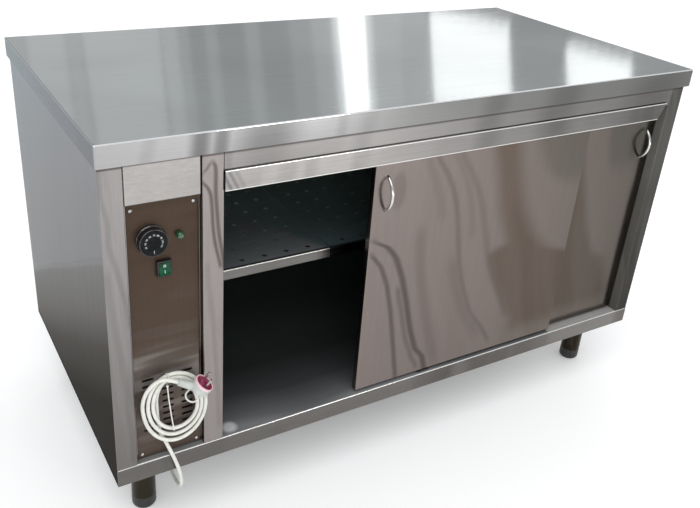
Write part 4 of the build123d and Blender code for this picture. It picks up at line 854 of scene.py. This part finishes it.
def top_skirt(at):
    """Painted reflection on the folds below the edge: the front darkens to the right, the sides lighten to
    the back.
    """
    front = ramp(at.x, -0.7, 0.7, [
        (-0.60, (0.395, 0.390, 0.393)), (-0.30, (0.335, 0.330, 0.328)), (-0.10, (0.242, 0.240, 0.236)),
        (0.10, (0.210, 0.210, 0.204)), (0.60, (0.168, 0.170, 0.160))])
    side = ramp(at.y, -0.35, 0.35, [
        (-0.33, (0.233, 0.240, 0.252)), (0.0, (0.276, 0.296, 0.317)), (0.33, (0.305, 0.348, 0.366)),
        (0.348, (0.31, 0.315, 0.32))])
    return at.z < TOP_FOLD, tint(at.y < TOP_FRONT, side, front)


def top_sides(at):
    """The folds at the sides and the back, duller than the front."""
    return (at.y > TOP_FRONT) * (at.z < TOP_FOLD)


# Upright bands of painted reflection on the worktop's front fold.
def skirt_bands(at):
    mask, tone, how = streaks(FRONT_BANDS + SKIRT_BANDS, BAND_TONE, BAND_SWAY, "MULTIPLY")(at)
    return mask * ((at.y < TOP_FRONT) * (at.z < TOP_FOLD)), tone, how


# A painted highlight along the worktop's top front edge.
def top_edge(at):
    return (at.z > TOP_HIGHLIGHT_FOLD) * (at.y < TOP_HIGHLIGHT_FRONT), (0.92, 0.92, 0.92)


dress("worktop", sheet(
    "worktop_sheet", (0.376, 0.401, 0.402), (0.337, 0.360, 0.362), run=(6, 500, 500), flow=(1.2, 2.4, 2.4),
    wave=0.0012, rough=0.060, fleck=0.04, scratch=0.00004, lines=0.5, edge=0.85, gloss=0.0,
    shades=(wipe_marks, top_skirt, skirt_bands, top_edge), dull=top_sides))
dress("worktop_ribs", zinc)
dress("worktop_core", fibrous(
    "core_board", 0.75, (60, 220, 400), (0.46, 0.33, 0.20), (0.28, 0.19, 0.11), 0.5, 0.0006))


# Mains lead
# A round white lead leaves a gland under the floor, comes up in front of the bottom rail and hangs in three
# loose turns before the control panel, held by a white tie; it ends in a plug with a crimson face.
white_soft = moulded("lead_white", (0.78, 0.78, 0.72), (0.70, 0.70, 0.64), 0.40, pits=500.0, depth=0.00003)
LEAD_DIAMETER, LEAD_LENGTH, LEAD_EXIT = 0.0075, 1.63, (-0.562, -0.234, 0.155)
lead_route = [
    (-0.562, -0.234, 0.158), (-0.562, -0.234, 0.136), (-0.564, -0.244, 0.104), (-0.567, -0.277, 0.080),
    (-0.568, -0.320, 0.082), (-0.571, -0.348, 0.113), (-0.577, -0.355, 0.153), (-0.587, -0.3505, 0.191),
    (-0.5985, -0.3345, 0.224), (-0.6103, -0.3365, 0.255),
]
COIL_X, COIL_Z, COIL_BACK, COIL_FRONT, COIL_LEAN = -0.5805, 0.312, -0.3365, -0.346, 0.0075
COIL_POINTS, COIL_START, COIL_TURNS = 16, -0.5, 3.0
# The coil's reach to the right, left, top and foot, how much each turn adds, and the turn that it is taken at
COIL_RIGHT, COIL_LEFT = (0.0456, 0.0086, 0.0), (0.0433, 0.00975, 0.5)
COIL_HIGH, COIL_LOW = (0.0572, 0.0088, -0.25), (0.055, 0.0145, 0.25)
for step in range(int(COIL_POINTS * COIL_TURNS) + 1):
    turned = COIL_START + step / COIL_POINTS
    angle = -2 * math.pi * turned
    side, rise = math.cos(angle), math.sin(angle)
    wide, tall = (reach + growth * (turned - first) for reach, growth, first in (
        COIL_RIGHT if side > 0 else COIL_LEFT, COIL_HIGH if rise > 0 else COIL_LOW))
    forward = min(1.0, max(0.0, (turned + 0.25) * 4))
    lead_route.append((COIL_X + wide * side, COIL_BACK + (COIL_FRONT - COIL_BACK) * forward,
                       COIL_Z + tall * rise - COIL_LEAN * side))
lead_route += [
    (-0.642, -0.3465, 0.341), (-0.635, -0.348, 0.361), (-0.622, -0.351, 0.378), (-0.604, -0.355, 0.3855),
    (-0.590, -0.3585, 0.3805), (-0.5765, -0.3618, 0.3739),
]
lead_line = bpy.data.curves.new("mains_lead", "CURVE")
lead_line.dimensions = "3D"
lead_run = lead_line.splines.new("NURBS")
lead_run.points.add(len(lead_route) - 1)
for point, spot in zip(lead_run.points, lead_route):
    point.co = (*spot, 1.0)
lead_run.order_u = 3
lead_run.use_endpoint_u = True
lead_run.resolution_u = 6
lead = show(bpy.data.objects.new("mains_lead", lead_line))
lead_path = [vertex.co.copy() for vertex in bpy.data.meshes.new_from_object(lead).vertices]
lead_line.bevel_depth = LEAD_DIAMETER / 2
lead_line.bevel_resolution = 5
lead_line.use_fill_caps = True
lead_line.materials.append(white_soft)
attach(lead, "cabinet")
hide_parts("mains_cord", "cord_coil")

dress("cable_gland", white_soft)
plug_middle = [sum(pair) / 2 for pair in zip(*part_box("plug_face"))]
PLUG_AXIS, PLUG_RIM, RIM_FADE, FACE_CELLS = (0.547, -0.266, 0.793), -0.0022, 0.0012, 120.0


def plug_paint(name, base, rough, mark, marked):
    """Moulded plastic whose colour changes where the mark says."""
    material = moulded(name, *base, rough)
    tree = material.node_tree
    colour = tree.nodes["Principled BSDF"].inputs["Base Color"]
    plain = Value(tree, colour.links[0].from_socket)
    feed(colour, tint(mark(put(tree, "TexCoord")("Object")), plain, marked))
    return material


def rim_mark(here):
    along = here.vector("SUBTRACT", plug_middle).vector("DOT_PRODUCT", PLUG_AXIS, out="Value")
    return spread(along, PLUG_RIM - RIM_FADE, PLUG_RIM, 0.0, 0.85)


def cell_mark(here):
    cells = put(here.tree, "TexVoronoi", Vector=here, Scale=FACE_CELLS)("Distance")
    return spread(cells, 0.30, 0.62, 0.0, 0.9)


dress("plug_body", plug_paint(
    "plug_white", ((0.56, 0.58, 0.56), (0.48, 0.50, 0.48)), 0.32, rim_mark, (0.92, 0.62, 0.67)))
dress("plug_ring", white_soft)
dress("plug_face", plug_paint(
    "plug_crimson", ((0.44, 0.055, 0.150), (0.36, 0.040, 0.115)), 0.34, cell_mark, (0.17, 0.016, 0.050)))
dress("plug_pins", screw_steel)

# The tie is a thin nylon strap closed round the turns, with a small square head and a long straight tail.
TIE_X, TIE_WIDE, TIE_THICK, TIE_HEAD, TIE_TAIL, STRAP_STEPS = -0.5945, 0.0026, 0.0010, 0.0036, 0.0022, 40
TIE_OVER = COIL_Z + 0.03
crossed = []
for a, b in zip(lead_path, lead_path[1:]):
    if (a.x - TIE_X) * (b.x - TIE_X) < 0 and a.z > TIE_OVER:
        share = (TIE_X - a.x) / (b.x - a.x)
        crossed.append((a.y + (b.y - a.y) * share, a.z + (b.z - a.z) * share))
strap = bmesh.new()


def bridge(loops):
    """Join rings of four points along the strap by faces."""
    for first, second in zip(loops, loops[1:]):
        for k in range(4):
            strap.faces.new((first[k], first[(k + 1) % 4], second[(k + 1) % 4], second[k]))


loops = []
near, far = LEAD_DIAMETER / 2, LEAD_DIAMETER / 2 + TIE_THICK
for step in range(STRAP_STEPS):
    turn = 2 * math.pi * step / STRAP_STEPS
    way = (math.cos(turn), math.sin(turn))
    y, z = max(crossed, key=lambda spot: spot[0] * way[0] + spot[1] * way[1])
    loops.append([strap.verts.new((TIE_X + side * TIE_WIDE / 2, y + reach * way[0], z + reach * way[1]))
                  for side, reach in ((-1, near), (1, near), (1, far), (-1, far))])
bridge(loops + loops[:1])
head = Vector((TIE_X, sum(y for y, z in crossed) / len(crossed),
               min(z for y, z in crossed) - near - TIE_HEAD / 3))
for corner in bmesh.ops.create_cube(strap, size=TIE_HEAD)["verts"]:
    corner.co += head
tail_way = [head, head + Vector((0.0018, -0.001, -0.030)), head + Vector((0.0045, -0.004, -0.065)),
            Vector((TIE_X + 0.0080, -0.3545, 0.2600))]
loops = [[strap.verts.new(spot + Vector((side * TIE_TAIL / 2, deep * TIE_THICK / 2, 0)))
          for side, deep in ((-1, -1), (1, -1), (1, 1), (-1, 1))] for spot in tail_way]
bridge(loops)
strap.faces.new(loops[-1])
bmesh.ops.recalc_face_normals(strap, faces=strap.faces)
tie = piece("tie_strap", strap, white_soft)
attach(tie, "cabinet")
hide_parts("cable_tie")


# Studio
# A wide pale floor, an even soft sky with a large soft sun, and upright light panels far behind the table,
# which the worktop mirrors as its bright bands. Two small soft lamps stand in front.
FLOOR_HALF, FLOOR_GLOW = 40, 0.18
floor_mesh = bmesh.new()
bmesh.ops.create_grid(floor_mesh, x_segments=8, y_segments=8, size=FLOOR_HALF)
paper, paper_tree, paper_to, paper_here = blank(
    "studio_paper", Roughness=0.9, Emission_Color=(1.0, 1.0, 1.0, 1.0))
paper_skin = put(paper_tree, "Group", {"node_tree": skin_tree}, Vector=paper_here, Pits=40.0)
feed(paper_to["Base Color"], tint(paper_skin("Cloud"), (0.93, 0.93, 0.93), (0.92, 0.92, 0.92)))
paper_way = put(paper_tree, "LightPath")
paper_seen = paper_way("Is Camera Ray") | paper_way("Is Glossy Ray") | paper_way("Is Transmission Ray")
feed(paper_to["Emission Strength"], paper_seen * FLOOR_GLOW)
studio_floor = piece("studio_floor", floor_mesh, paper)

world = bpy.data.worlds.new("studio_sky")
bpy.context.scene.world = world
world.use_nodes = True
sky_way = put(world.node_tree, "TexCoord")("Generated")
sky_height = put(world.node_tree, "SeparateXYZ", Vector=sky_way)("Z")
feed(world.node_tree.nodes["Background"].inputs["Color"],
     tint(spread(sky_height, 0.05, 0.7), (0.50, 0.51, 0.52), (0.78, 0.79, 0.80)))


def lamp(name, kind, place, turn, **settings):
    """A light of the studio, out of the camera's sight."""
    light = bpy.data.lights.new(name, kind)
    for label, value in settings.items():
        setattr(light, label, value)
    stand = show(bpy.data.objects.new(name, light))
    stand.location, stand.rotation_euler, stand.visible_camera = place, turn, False


def facing(way):
    """The turn of a lamp that shines against the way given."""
    return way.to_track_quat("Z", "Y").to_euler()


lamp("soft_sun", "SUN", (0, 0, 0), facing(Vector((-0.25, -0.40, 0.88))), energy=0.95, angle=math.radians(50))

# Each light panel runs from one direction to another, in degrees from the back to the right, with its
# brightness and, where they aren't at SILL, the heights of its sill at both ends. A slanting sill is cut
# into upright strips.
PANEL_FAR, PANEL_FOOT, PANEL_TOP, SILL, STRIP_WIDE = 60.0, 0.85, 32.0, 9.0, 0.7
LEAN_FIRST, LEAN_FROM, LEAN_GROWTH = 5.0, 19.0, 0.29
LIGHT_PANELS = (
    (1.8, 4.4, 0.45), (4.4, 5.4, 0.30), (5.4, 8.0, 0.38), (8.0, 9.2, 0.24), (9.2, 11.8, 0.36),
    (11.8, 12.8, 0.26), (12.8, 18.2, 0.37), (18.2, 19.4, 0.29), (19.4, 20.2, 0.15), (20.2, 21.3, 0.03),
    (21.3, 22.2, 0.14), (22.2, 24.1, 0.03), (24.1, 25.2, 0.15), (25.2, 27.3, 0.04), (27.3, 28.9, 0.13),
    (28.9, 30.4, 0.24), (30.4, 30.95, 0.7), (30.95, 32.75, 2.6), (32.75, 33.3, 0.7), (33.3, 35.4, 0.34),
    (35.4, 37.3, 0.28), (37.45, 43.0, 1.65, 10.8, 11.4), (43.0, 46.7, 0.10, 11.9, 11.9),
    (46.85, 51.15, 1.75, 12.3, 12.8), (51.2, 60.0, 0.08))


def at_panel(angle):
    """How far an angle reaches where the panels stand."""
    return PANEL_FAR * math.tan(math.radians(angle))


for first, last, bright, *sills in LIGHT_PANELS:
    sill_left, sill_right = sills or (SILL, SILL)
    strips = 1 if sill_left == sill_right else round((last - first) / STRIP_WIDE)
    wide = 2 * at_panel((last - first) / strips / 2)
    for strip in range(strips):
        share = (strip + 0.5) / strips
        aim = first + (last - first) * share
        way, lean = math.radians(aim), math.radians(LEAN_FIRST + LEAN_GROWTH * (aim - LEAN_FROM))
        low, high = at_panel(sill_left + (sill_right - sill_left) * share), at_panel(PANEL_TOP)
        foot = Vector((PANEL_FAR * math.sin(way), PANEL_FAR * math.cos(way), PANEL_FOOT + at_panel(SILL)))
        upward = Vector((math.cos(way) * math.sin(lean), -math.sin(way) * math.sin(lean), math.cos(lean)))
        lamp("light_panel", "AREA", foot + upward * ((low + high) / 2 - at_panel(SILL)),
             (math.radians(90), -lean, math.pi - way), shape="RECTANGLE", size=wide, size_y=high - low,
             energy=bright * math.pi * wide * (high - low))

for name, spot, aim, size, energy in (
        ("front_key", (0.99, -3.09, 0.48), (-0.2, -0.2, 0.5), 0.7, 13.0),
        ("cupboard_fill", (-0.95, -1.75, 0.80), (-0.25, 0.0, 0.40), 0.5, 3.0)):
    lamp(name, "AREA", spot, facing(Vector(spot) - Vector(aim)), size=size, energy=energy)

camera = bpy.data.cameras.new("camera")
camera.sensor_width, camera.lens = 36.0, 41.47022
camera.shift_x, camera.shift_y = 0.0284748, -0.0463270
eye = show(bpy.data.objects.new("camera", camera))
eye.location = (-0.988340, -1.507411, 1.307968)
eye.rotation_euler = [math.radians(a) for a in (63.811614, -3.625581, -30.083541)]
bpy.context.scene.camera = eye
bpy.context.scene.view_settings.view_transform = "Standard"
